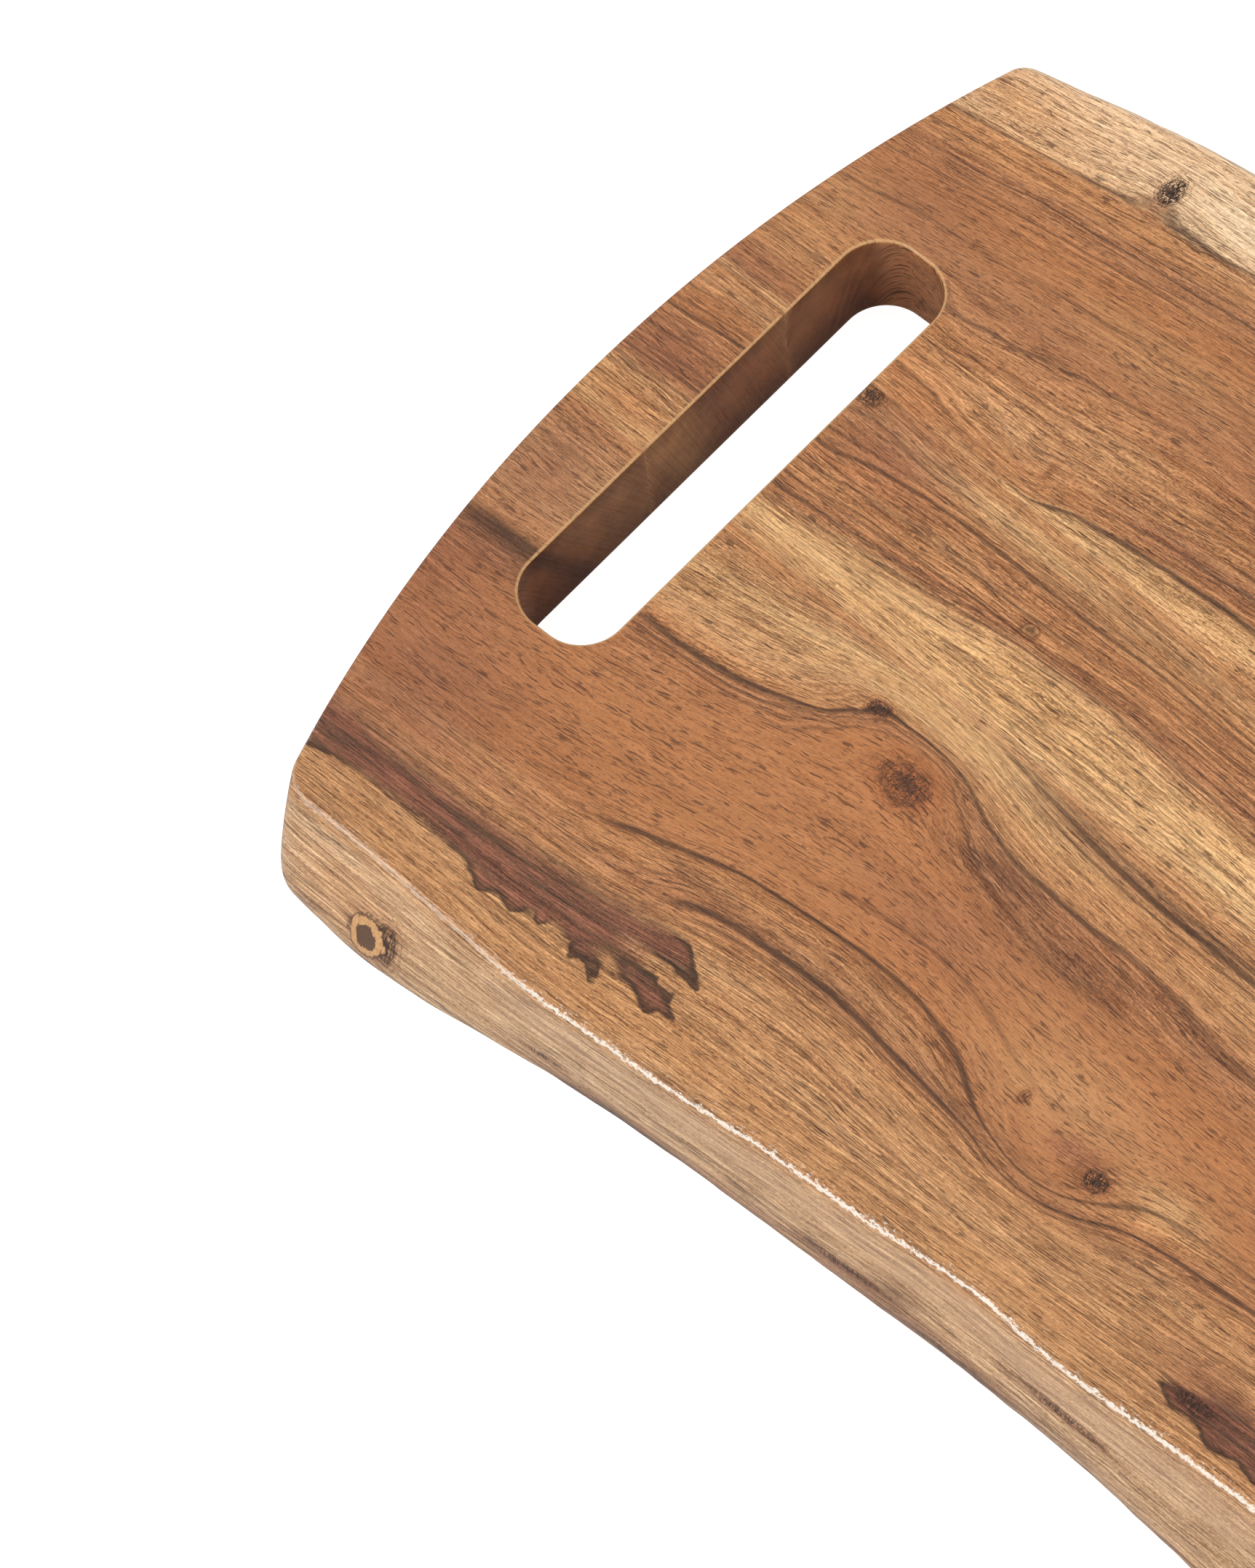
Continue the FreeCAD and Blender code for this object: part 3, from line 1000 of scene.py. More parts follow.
NEAR_FIGURE = Figure(
    lines=(
        GrainLine(-14, ((-260, -12), (-200, -14.2), (-100, -17.6), (0, -20), (120, -24), (260, -29))),
        GrainLine(-19, ((-252, -20), (-229, -20.5), (-200, -22), (-180, -21), (-160, -18.4),
            (-140, -17), (-120, -18), (-100, -21.3), (-80, -24.7), (-60, -26.7), (-40, -27.4),
            (20, -30), (120, -33), (260, -38))),
        GrainLine(-30, ((-254, -33), (-229, -33.5), (-200, -32), (-180, -30), (-160, -27),
            (-148, -23.5), (-138, -22), (-125, -23), (-110, -26.5), (-95, -30.5), (-80, -32.5),
            (-50, -34), (0, -36), (80, -38), (260, -46))),
        GrainLine(-44, ((-254, -50.8), (-229, -48.9), (-200, -45.8), (-189, -46), (-180, -45.3),
            (-170, -43.5), (-160, -40.5), (-150, -36.7), (-145, -32.5), (-141, -28.4), (-135, -28.6),
            (-128, -28.5), (-120, -29.4), (-115, -30.9), (-108, -34.2), (-100, -37.2), (-90, -39.3),
            (-80, -39.7), (-69, -40.5), (-60, -40), (-50, -40.8), (-40, -42.3), (-30, -45), (0, -47),
            (60, -46), (140, -50), (260, -57))),
        GrainLine(-50, ((-252, -57.5), (-229, -55.5), (-200, -52), (-170, -50), (-155, -46.5),
            (-150, -41.5), (-145, -36.5), (-137, -32.6), (-128, -31.2), (-119, -32.4), (-110, -38),
            (-100, -44.5), (-89, -48.5), (-72, -52), (-40, -53), (20, -55), (140, -58), (260, -66))),
        GrainLine(-60, ((-252, -68), (-200, -66), (-170, -62), (-145, -57), (-125, -55), (-105, -57.5),
            (-85, -60), (-60, -61), (0, -63), (140, -68), (260, -76))),
        GrainLine(-70, ((-250, -80), (-200, -79), (-160, -76.5), (-126, -72), (-115, -69),
            (-100, -67.5), (-87, -67.5), (-77, -69.7), (-63, -75), (-54, -77.7), (-40, -76.5),
            (-20, -74), (10, -73), (60, -75), (140, -79), (260, -86))),
        GrainLine(-80, ((-248, -94), (-200, -93), (-178, -92), (-167, -89), (-160, -86.5), (-150, -84),
            (-140, -80.9), (-128, -79.3), (-120, -78.7), (-110, -78), (-100, -77.8), (-95, -77.7),
            (-87, -78.7), (-80, -80.5), (-71, -84), (-65, -87.7), (-60, -90.7), (-54, -93), (-46, -95),
            (-38, -95.2), (-30, -93.4), (-23, -89.5), (-18, -85.5), (-8, -83), (10, -82), (60, -84),
            (140, -88), (260, -95))),
        GrainLine(-90, ((-243, -101), (-200, -100), (-170, -99), (-155, -98), (-147, -96.7),
            (-143.6, -94.6), (-140, -93), (-132, -91.5), (-125, -91), (-115, -90.3), (-105, -90),
            (-100, -90.3), (-90, -91.2), (-80, -92.5), (-69, -93.7), (-60, -95.2), (-54, -96.4),
            (-48, -98.2), (-40, -98.8), (-33, -97.9), (-27, -96), (-20, -92.9), (-12, -90.7),
            (-3, -89.7), (7, -88.9), (19, -88), (60, -90), (140, -96), (260, -104))),
        GrainLine(-100, ((-240, -109), (-200, -108), (-165, -105), (-140, -101.5), (-120, -99),
            (-100, -97.5), (-80, -99), (-60, -102), (-40, -103.5), (-20, -102), (0, -99), (30, -97.5),
            (60, -99), (140, -105), (260, -112))),
        GrainLine(-115, ((-237, -119), (-200, -118), (-160, -118), (-120, -114.5), (-80, -114),
            (-40, -113.5), (0, -112), (40, -110), (90, -112), (140, -117), (260, -121))),
        GrainLine(-131, ((-236, -131), (-200, -131), (-157, -132.5), (-108, -129.5), (-58, -125.6),
            (-8, -124.4), (47, -122.4), (90, -125), (135, -129.6), (180, -132.6), (225, -131),
            (260, -129))),
        GrainLine(-143, ((-240, -142), (-205, -143), (-157, -142.5), (-108, -140), (-58, -136.5),
            (-8, -136), (47, -136), (135, -140), (180, -142), (260, -141))),
    ),
    bands=(
        Band(-14.0, Tone.AMBER, 0.7),
        Band(-19.0, Tone.TAN, 1.0),
        Band(-24.0, Tone.HONEY, 1.0),
        Band(-37.0, Tone.TAN, 0.7),
        Band(-43.0, Tone.AMBER, 0.8),
        Band(-45.0, Tone.MID_BROWN, 0.8),
        Band(-53.0, Tone.ORANGE_BROWN, 0.35),
        Band(-72.0, Tone.ORANGE_BROWN, 0.25),
        Band(-79.0, Tone.ORANGE_BROWN, 0.5),
        Band(-84.0, Tone.AMBER, 0.8),
        Band(-90.0, Tone.MID_BROWN, 0.9),
        Band(-94.0, Tone.AMBER, 0.9),
        Band(-101.0, Tone.GOLD, 0.9),
        Band(-114.0, Tone.GOLD, 1.0),
        Band(-122.0, Tone.GOLD, 0.8),
        Band(-130.0, Tone.GOLD, 0.8),
        Band(-134.0, Tone.SAP_SIDE, 0.9),
        Band(-146.0, Tone.SAP_SIDE, 1.0),
    ),
    patches=(
        Patch(-243, -30, 22, 18, Tone.RED_BROWN, 0.8, 0.4),
        Patch(-95, -62, 22, 9, Tone.RED_BROWN, 0.5, 0.3),
        Patch(-238, -55, 16, 4.5, Tone.UMBER, 0.6, 0.7),
        Patch(-99, -44, 13, 3.2, Tone.UMBER, 0.6, 0.9),
        Patch(-70, -48.5, 24, 3.2, Tone.UMBER, 0.6, 0.9),
        Patch(-144, -88, 12, 2.2, Tone.UMBER, 0.5, 0.8),
        Patch(-118, -88, 24, 2.4, Tone.UMBER, 0.5, 0.8),
        Patch(-97, -83, 18, 2.6, Tone.UMBER, 0.45, 0.8),
        Patch(-60, -93, 14, 2.6, Tone.UMBER, 0.55, 0.8),
        Patch(-22, -96, 24, 2.6, Tone.UMBER, 0.45, 0.8),
        Patch(-246, -62, 16, 12, Tone.RED_BROWN, 0.8, 0.5),
        Patch(-236, -50.5, 18, 2.6, Tone.LINE, 0.9, 0.9),
        Patch(-228, -90, 26, 22, Tone.RED_BROWN, 0.75, 0.4),
        Patch(-192, -52, 12, 7, Tone.MID_BROWN, 0.6, 0.8),
        Patch(-195, -24, 16, 6, Tone.GOLD, 0.6, 1.0),
        Patch(-140, -42, 16, 9, Tone.ORANGE_BROWN, 0.3, 0.0),
        Patch(-135, -24, 20, 3.0, Tone.HONEY, 0.8, 0.5),
        Patch(-118, -21, 22, 3.0, Tone.HONEY, 0.7, 0.3),
        Patch(-92, -43, 12, 4.0, Tone.UMBER, 0.6, 0.9),
        Patch(-72, -52, 18, 4.0, Tone.UMBER, 0.45, 0.9),
        Patch(-92, -23.5, 16, 2.6, Tone.UMBER, 0.35, 1.0),
        Patch(-56, -26.5, 34, 2.6, Tone.UMBER, 0.6, 1.0),
        Patch(-55, -33, 34, 5.0, Tone.AMBER, 1.0, 1.0),
        Patch(-30, -44, 40, 5.0, Tone.MID_BROWN, 0.5, 1.0),
        # A pale patch round the knots, standing in for a sheen on the face: painted highlight.
        Patch(-48, -74, 20, 9, Tone.TAN, 0.75, 0.25),
        Patch(-36, -84.5, 8, 3.5, Tone.RED_BROWN, 0.9, 0.8),
        Patch(-12, -81, 12, 5, Tone.HONEY, 0.6, 0.8),
        Patch(-70, -88, 10, 5, Tone.UMBER, 0.4, 0.8),
        Patch(-150, -96, 16, 5, Tone.MID_BROWN, 0.5, 0.6),
        Patch(-120, -84, 26, 4, Tone.AMBER, 0.5, 0.9),
        Patch(-60, -108, 50, 7, Tone.TAN, 0.5, 1.0),
        Patch(-105, -104, 28, 5, Tone.TAN, 0.8, 0.9),
        Patch(-110, -149.5, 40, 2.0, Tone.MID_BROWN, 0.45),
        Patch(-60, -146.0, 34, 1.8, Tone.TAN, 0.6),
        Patch(-35, -143.0, 45, 2.6, Tone.MID_BROWN, 0.5),
        Patch(30, -148.0, 50, 2.4, Tone.MID_BROWN, 0.5),
        Patch(-80, -147.5, 40, 2.0, Tone.UMBER, 0.5),
        Patch(-42, -138.5, 11, 4.5, Tone.UMBER, 0.45),
        Patch(-18, -144.5, 50, 2.6, Tone.UMBER, 0.6),
        Patch(-114, -147.5, 26, 2.8, Tone.UMBER, 0.4),
        Patch(-205, -147.0, 14, 9.0, Tone.TAN, 0.5),
        Patch(22, -107, 16, 6, Tone.RED_BROWN, 0.65, 0.6),
        Patch(70, -62, 60, 9, Tone.AMBER, 0.5, 0.5),
        Patch(190, -70, 60, 12, Tone.RED_BROWN, 0.4, 0.4),
        Patch(150, -100, 70, 8, Tone.MID_BROWN, 0.5, 0.8),
    ),
    knots=(
        Knot(-142.4, -28.8, 2.7, 1.8, dark=1.0, red=0.8, dip=0.2),
        Knot(-125.6, -39.8, 6.2, 4.6, dark=0.7, red=0.8, dip=0.1),
        Knot(-28.6, -86.6, 2.8, 2.6, dark=0.8, red=0.5, crack=0.6, dip=0.25),
        Knot(-54.0, -81.0, 1.3, 1.6, dark=0.6, red=0.6, dip=0.1),
        Knot(22.0, -112.6, 5.0, 1.8, dark=0.7, red=0.6, crack=0.5, dip=0.2),
        Knot(-62.0, -136.0, 10.0, 26.0, dark=0.7, red=0.7, z=20.0, size_z=1.4),
        Knot(-34.0, -136.0, 13.0, 26.0, dark=0.7, red=0.6, z=14.0, size_z=1.3),
        Knot(-2.0, -136.0, 12.0, 26.0, dark=0.7, red=0.7, z=26.0, size_z=1.2),
        Knot(142.0, -47.0, 6.4, 4.4, dark=0.7, red=0.7, crack=0.3, dip=0.2),
        Knot(196.0, -99.0, 3.4, 2.6, dark=0.8, red=0.6, dip=0.15),
        Knot(-193.4, -141.2, 3.2, 26.0, dark=1.0, red=0.6, z=21.5, size_z=4.6),
        Knot(-198.6, -141.5, 5.6, 26.0, dark=0.9, red=0.4, eye=1.0, z=20.0, size_z=5.6),
        Knot(-148.0, -138.0, 5.0, 26.0, dark=0.75, red=0.7, z=21.0, size_z=0.9),
        Knot(-128.0, -137.0, 15.0, 26.0, dark=0.8, red=0.8, z=13.0, size_z=1.7),
    ),
    inks=(
        InkLine(-44, 0.85, 1, ((-215, 0.5), (-190, 0.9), (-120, 1), (-60, 0.8), (-30, 0.5), (80, 0.8),
            (250, 0.3))),
        InkLine(-46.4, 0.28, 0.9, ((-225, 0.3), (-205, 0.9), (-165, 0.8), (-145, 0.3), (-125, 0))),
        InkLine(-48.2, 0.24, 0.8, ((-225, 0.5), (-195, 0.8), (-160, 0.6), (-145, 0))),
        InkLine(-50, 0.35, 0.8, ((-165, 0), (-150, 0.8), (-128, 0.9), (-112, 0.6), (-90, 0.3),
            (40, 0.2), (120, 0.8))),
        InkLine(-70, 0.35, 0.6, ((-130, 0), (-105, 0.7), (-80, 0.8), (-50, 0.4), (-20, 0.1), (90, 0.6),
            (200, 0.2))),
        InkLine(-80, 0.6, 1, ((-174, 0), (-166, 0.8), (-120, 1), (-80, 0.7), (-48, 0.9), (0, 0.5),
            (140, 1))),
        InkLine(-90, 0.75, 1, ((-150, 0), (-143, 0.9), (-20, 1), (60, 0.7), (200, 0.3))),
        InkLine(-93, 0.45, 0.8, ((-146, 0), (-138, 0.7), (-60, 0.8), (-40, 0.3), (60, 0.6))),
        InkLine(-19, 0.7, 0.9, ((-168, 0), (-155, 0.5), (-130, 0.3), (-110, 0.9), (-40, 1), (120, 0.2))),
        InkLine(-17.2, 0.4, 0.7, ((-120, 0), (-108, 0.8), (-30, 0.9), (160, 0.5))),
        InkLine(-22.5, 0.45, 0.7, ((-190, 0.4), (-160, 0.5), (-145, 0), (-105, 0), (-90, 0.9),
            (-40, 0.8), (100, 0.3))),
    ),
    flames=(
        Flame(((-262, -104), (-237, -105.5), (-219, -107), (-200, -106.2), (-188, -105.8),
            (-177, -104.8), (-165, -103.2), (-153, -102.2), (-144, -101.8), (-138, -101.6),
            (-134.5, -101.4), (-132, -104), (-129.6, -105.8), (-126.8, -108.2), (-131, -107.7),
            (-135, -107.2), (-139, -108), (-145, -110), (-141.4, -111), (-139, -112.4),
            (-135.8, -111.6), (-134.3, -113.6), (-129.4, -113), (-131, -114.8), (-125, -117.2),
            (-129, -117.2), (-131.6, -119.6), (-136.9, -117), (-141.5, -116.4), (-146.2, -114.6),
            (-150.4, -116), (-146.8, -118), (-145.4, -122.6), (-148, -120.4), (-151, -118.6),
            (-153.5, -120.6), (-155.5, -117.4), (-162.4, -116.4), (-164.5, -119), (-167.9, -117.2),
            (-171.4, -120.6), (-176.5, -119), (-180.8, -121.3), (-185.6, -118.4), (-192, -117.5),
            (-200, -117.1), (-213, -116.5), (-225, -117.2), (-235, -119.2), (-262, -121.5)), 6, -150),
        Flame(((12, -113), (20, -111), (26, -107.6), (40, -106.5), (62, -107), (78, -110), (62, -114),
            (48, -115.4), (44, -118), (36, -116.4), (30, -118.4), (24, -115), (18, -116)), 4),
    ),
    lean=(0.45, -0.55),
)

MIDDLE_FIGURE = Figure(
    lines=(
        GrainLine(-22, ((-260, -14), (-200, -15.5), (-100, -19), (0, -22), (260, -31.5))),
        GrainLine(-12, ((-260, -9), (-229, -8), (-200, -9), (-150, -10), (-100, -11), (0, -14),
            (100, -18), (260, -22))),
        GrainLine(-2, ((-260, 2.5), (-229, 3), (-200, -4), (-171, -1.2), (-150, 1.3), (-128, 3.6),
            (-105, 4.2), (-80, 2.6), (-50, 0), (0, -3), (100, -7), (260, -13))),
        GrainLine(4, ((-255, 8), (-229, 9.5), (-200, 3.5), (-175, 4), (-155, 5.4), (-140, 6),
            (-130, 5.7), (-118, 6.6), (-100, 8.5), (-60, 6), (0, 2), (100, -2.5), (260, -8))),
        GrainLine(9, ((-255, 13), (-229, 15), (-200, 8), (-180, 10.5), (-160, 11), (-140, 10.5),
            (-130, 10.7), (-118, 10.8), (-100, 12.5), (-60, 11), (0, 7), (100, 1.5), (260, -3))),
        GrainLine(15, ((-255, 20), (-229, 22), (-200, 14.2), (-189, 16.5), (-180, 18), (-168, 19),
            (-150, 19), (-120, 18), (-100, 18), (-60, 16), (0, 12), (100, 7), (260, 3))),
        GrainLine(22, ((-255, 27), (-229, 29), (-200, 26), (-192, 27.5), (-184, 26), (-176, 24.5),
            (-168, 24.5), (-155, 25.5), (-130, 24.5), (-100, 23.5), (-60, 20), (0, 17), (100, 13),
            (260, 9))),
        GrainLine(30, ((-255, 36), (-200, 34.5), (-190, 32.6), (-180, 31.5), (-150, 31), (-100, 29.6),
            (0, 26), (100, 22.6), (260, 17))),
    ),
    bands=(
        Band(-22.0, Tone.TAN, 0.8),
        Band(-15.0, Tone.HONEY, 0.8),
        Band(-7.0, Tone.HONEY, 0.9),
        Band(-3.0, Tone.GOLD, 1.0),
        Band(1.0, Tone.MID_BROWN, 1.0),
        Band(6.0, Tone.AMBER, 1.0),
        Band(12.0, Tone.ORANGE_BROWN, 1.0),
        Band(19.0, Tone.AMBER, 0.9),
        Band(25.0, Tone.TAN, 0.8),
        Band(31.0, Tone.AMBER, 0.8),
    ),
    patches=(
        Patch(-242, 24, 15, 8, Tone.ORANGE_BROWN, 0.85, 0.5),
        Patch(-242, 10, 15, 9, Tone.RED_BROWN, 0.9, 0.5),
        Patch(-238, 1, 17, 3, Tone.GOLD, 0.8, 1.0),
        Patch(-240, -7, 16, 5, Tone.ORANGE_BROWN, 0.85, 0.9),
        Patch(-186, 22, 18, 8, Tone.RED_BROWN, 0.8, 0.6),
        Patch(-188, 30, 12, 5.5, Tone.MID_BROWN, 0.95, 0.8),
        Patch(-143, 26, 22, 3.2, Tone.HONEY, 1.0, 0.8),
        Patch(-98, 24, 32, 6, Tone.GOLD, 0.9, 1.0),
        Patch(-166, -6, 15, 4.5, Tone.HONEY, 1.0, 0.5),
        Patch(-155, 12, 12, 4, Tone.GOLD, 0.5, 1.0),
        Patch(-76, 6, 18, 5, Tone.MID_BROWN, 0.6, 1.0),
        Patch(10, 4, 40, 7, Tone.AMBER, 0.5, 0.9),
        Patch(110, 10, 50, 8, Tone.RED_BROWN, 0.45, 0.6),
        Patch(180, -4, 40, 6, Tone.TAN, 0.5, 0.8),
        Patch(242, -6, 15, 16, Tone.ORANGE_BROWN, 0.7, 0.5),
    ),
    knots=(
        Knot(-199.2, 31.6, 3.2, 2.8, dark=0.9, red=0.8, dip=0.2),
        Knot(-130.0, 8.2, 2.2, 1.7, dark=0.7, red=0.7, dip=0.12, eye=0.35),
        Knot(84.0, 4.0, 2.6, 1.9, dark=0.7, red=0.7, dip=0.12),
    ),
    inks=(
        InkLine(-2, 0.4, 0.5),
        InkLine(1.2, 0.35, 0.6),
        InkLine(4.2, 0.3, 0.5),
        InkLine(9.2, 0.3, 0.5),
        InkLine(15, 0.4, 0.7),
        InkLine(17.5, 0.3, 0.5),
        InkLine(22, 0.3, 0.5),
        InkLine(24.6, 0.25, 0.4),
    ),
    lean=(0.4, -0.35),
)

FAR_FIGURE = Figure(
    lines=(
        GrainLine(28, ((-260, 35.2), (-200, 33.2), (-153, 31.8), (-100, 29.8), (0, 26.2), (260, 17))),
        GrainLine(36, ((-255, 38.5), (-229, 38), (-200, 38), (-180, 35.5), (-163, 34), (-154, 33.4),
            (-148, 35.6), (-142, 37.3), (-129, 38.9), (-120, 39.4), (-100, 40.5), (-60, 41.5), (0, 40),
            (100, 36), (260, 30))),
        GrainLine(46, ((-253, 47), (-229, 48.5), (-200, 48), (-175, 47), (-162, 45), (-154, 45.2),
            (-146, 47), (-120, 50), (-100, 52), (-60, 53), (0, 51), (100, 47), (260, 41))),
        GrainLine(62, ((-252, 60), (-229, 63), (-210, 66), (-200, 60.3), (-189, 61.5), (-180, 63),
            (-170, 65.2), (-160, 66.7), (-150, 68.2), (-135, 69.4), (-120, 69.3), (-60, 70), (0, 67),
            (100, 62), (260, 58))),
        GrainLine(75, ((-246, 72.3), (-233, 74.2), (-221, 76.5), (-200, 77.5), (-180, 80), (-150, 83),
            (-120, 84), (-60, 84), (0, 80), (100, 76), (260, 72))),
        GrainLine(96, ((-242, 90.8), (-231, 92.5), (-220, 93.7), (-210, 95.2), (-200, 97),
            (-180, 98.5), (-171, 99.4), (-160, 100.2), (-150, 101.2), (-143, 101.8), (-100, 103),
            (-40, 101), (20, 97), (100, 95), (180, 92), (260, 88))),
        GrainLine(107, ((-240, 103.2), (-220, 105.7), (-210, 106.9), (-200, 108.2), (-192, 109.3),
            (-187, 110.4), (-184.4, 113), (-182, 115), (-179.8, 113), (-177, 111), (-171, 111.1),
            (-162, 111.7), (-152, 112.9), (-110, 114), (-60, 112.5), (0, 109.5), (60, 109), (120, 110),
            (180, 106.5), (260, 100))),
        GrainLine(120, ((-236, 119), (-205, 122), (-190, 124.5), (-182, 125.5), (-172, 125),
            (-150, 125.5), (-110, 127), (-45, 123.5), (0, 121), (60, 122), (120, 124.5), (180, 120.5),
            (260, 113))),
        GrainLine(134, ((-236, 131), (-205, 135), (-160, 141), (-110, 142), (-45, 138), (0, 136.5),
            (90, 141), (180, 136.5), (260, 128))),
    ),
    bands=(
        Band(28.0, Tone.TAN, 1.0),
        Band(33.0, Tone.HONEY, 1.0),
        Band(35.4, Tone.GOLD, 1.0),
        Band(37.5, Tone.ORANGE_BROWN, 0.9),
        Band(46.0, Tone.AMBER, 1.0),
        Band(56.0, Tone.ORANGE_BROWN, 0.9),
        Band(66.0, Tone.MID_BROWN, 0.45),
        Band(78.0, Tone.ORANGE_BROWN, 0.35),
        Band(88.0, Tone.ORANGE_BROWN, 0.6),
        Band(97.0, Tone.MID_BROWN, 0.8),
        Band(102.0, Tone.AMBER, 0.8),
        Band(106.6, Tone.AMBER, 0.7),
        Band(107.4, Tone.SAP_STRAW, 0.8),
        Band(113.0, Tone.SAP_CREAM, 0.6),
        Band(130.0, Tone.SAP_CREAM, 0.6),
    ),
    patches=(
        Patch(-242, 60, 14, 18, Tone.GOLD, 0.6, 0.5),
        Patch(-172, 45, 18, 6, Tone.TAN, 0.7, 0.9),
        Patch(-243, 40, 15, 6, Tone.RED_BROWN, 0.7, 0.8),
        Patch(-190, 34.5, 15, 4.5, Tone.ORANGE_BROWN, 1.0, 0.9),
        Patch(-226, 80, 18, 9, Tone.RED_BROWN, 0.45, 0.4),
        Patch(-228, 113, 26, 9, Tone.TAN, 0.95, 1.0),
        Patch(-158, 122, 26, 8, Tone.SAP_PALE, 0.8, 0.5),
        Patch(-190, 54, 24, 6, Tone.AMBER, 0.6, 1.0),
        Patch(-150, 56, 22, 7, Tone.TAN, 0.7, 0.8),
        Patch(-152, 81, 22, 8, Tone.GOLD, 0.6, 0.6),
        Patch(-125, 52, 26, 6, Tone.AMBER, 0.4, 1.0),
        Patch(-112, 46, 22, 3, Tone.RED_BROWN, 0.6, 1.0),
        Patch(-182, 111.5, 2.2, 3.2, Tone.RED_BROWN, 0.5, 0.6),
        Patch(-110, 35, 40, 3, Tone.HONEY, 0.8, 1.0),
        Patch(-104, 28, 16, 3.5, Tone.GOLD, 0.85, 1.0),
        Patch(-137, 27.5, 12, 3.5, Tone.HONEY, 0.9, 0.9),
        Patch(40, 34, 70, 5, Tone.TAN, 0.6, 1.0),
        Patch(120, 70, 60, 10, Tone.RED_BROWN, 0.4, 0.5),
        Patch(205, 88, 40, 8, Tone.AMBER, 0.5, 0.8),
    ),
    knots=(
        Knot(-182.2, 118.2, 2.7, 3.9, dark=1.0, red=0.35, crack=1.0, dip=0.5),
        Knot(-154.0, 42.7, 0.9, 2.3, dark=0.2, red=0.6, dip=0.08),
        Knot(62.0, 58.0, 5.0, 3.4, dark=0.75, red=0.8, crack=0.2, dip=0.2),
        Knot(168.0, 99.0, 2.4, 2.0, dark=0.8, red=0.6, dip=0.15),
    ),
    inks=(
        InkLine(36, 0.55, 0.95, ((-200, 0.1), (-178, 0.3), (-166, 0.9), (260, 1))),
        InkLine(41, 0.28, 0.8, ((-185, 0.5), (-160, 0.2), (-140, 0.8), (-60, 0.9), (100, 0.3))),
        InkLine(50, 0.28, 0.6, ((-200, 0.8), (-170, 0.5), (-150, 0.1), (-110, 0.9), (90, 0.4))),
        InkLine(62, 0.3, 0.75, ((-220, 0.2), (-200, 0.9), (-150, 0.7), (-120, 0.3), (60, 1))),
        InkLine(75, 0.45, 0.4),
        InkLine(90, 0.28, 0.5),
        InkLine(96, 0.3, 0.9, ((-240, 0.3), (-205, 1), (-150, 0.9), (0, 0.6))),
        InkLine(98.6, 0.24, 0.7, ((-230, 0.1), (-200, 0.4), (-170, 0.9), (0, 0.8))),
        InkLine(102.4, 0.24, 0.5),
        InkLine(107, 0.28, 1, ((-240, 0.6), (-188, 1), (-184.6, 0.5), (-183, 0.1), (-181, 0.1),
            (-179, 0.5), (-175, 1), (260, 0.8))),
    ),
    lean=(0.4, 0.5),
)


# ---------------------------------------------------------------- shader building blocks


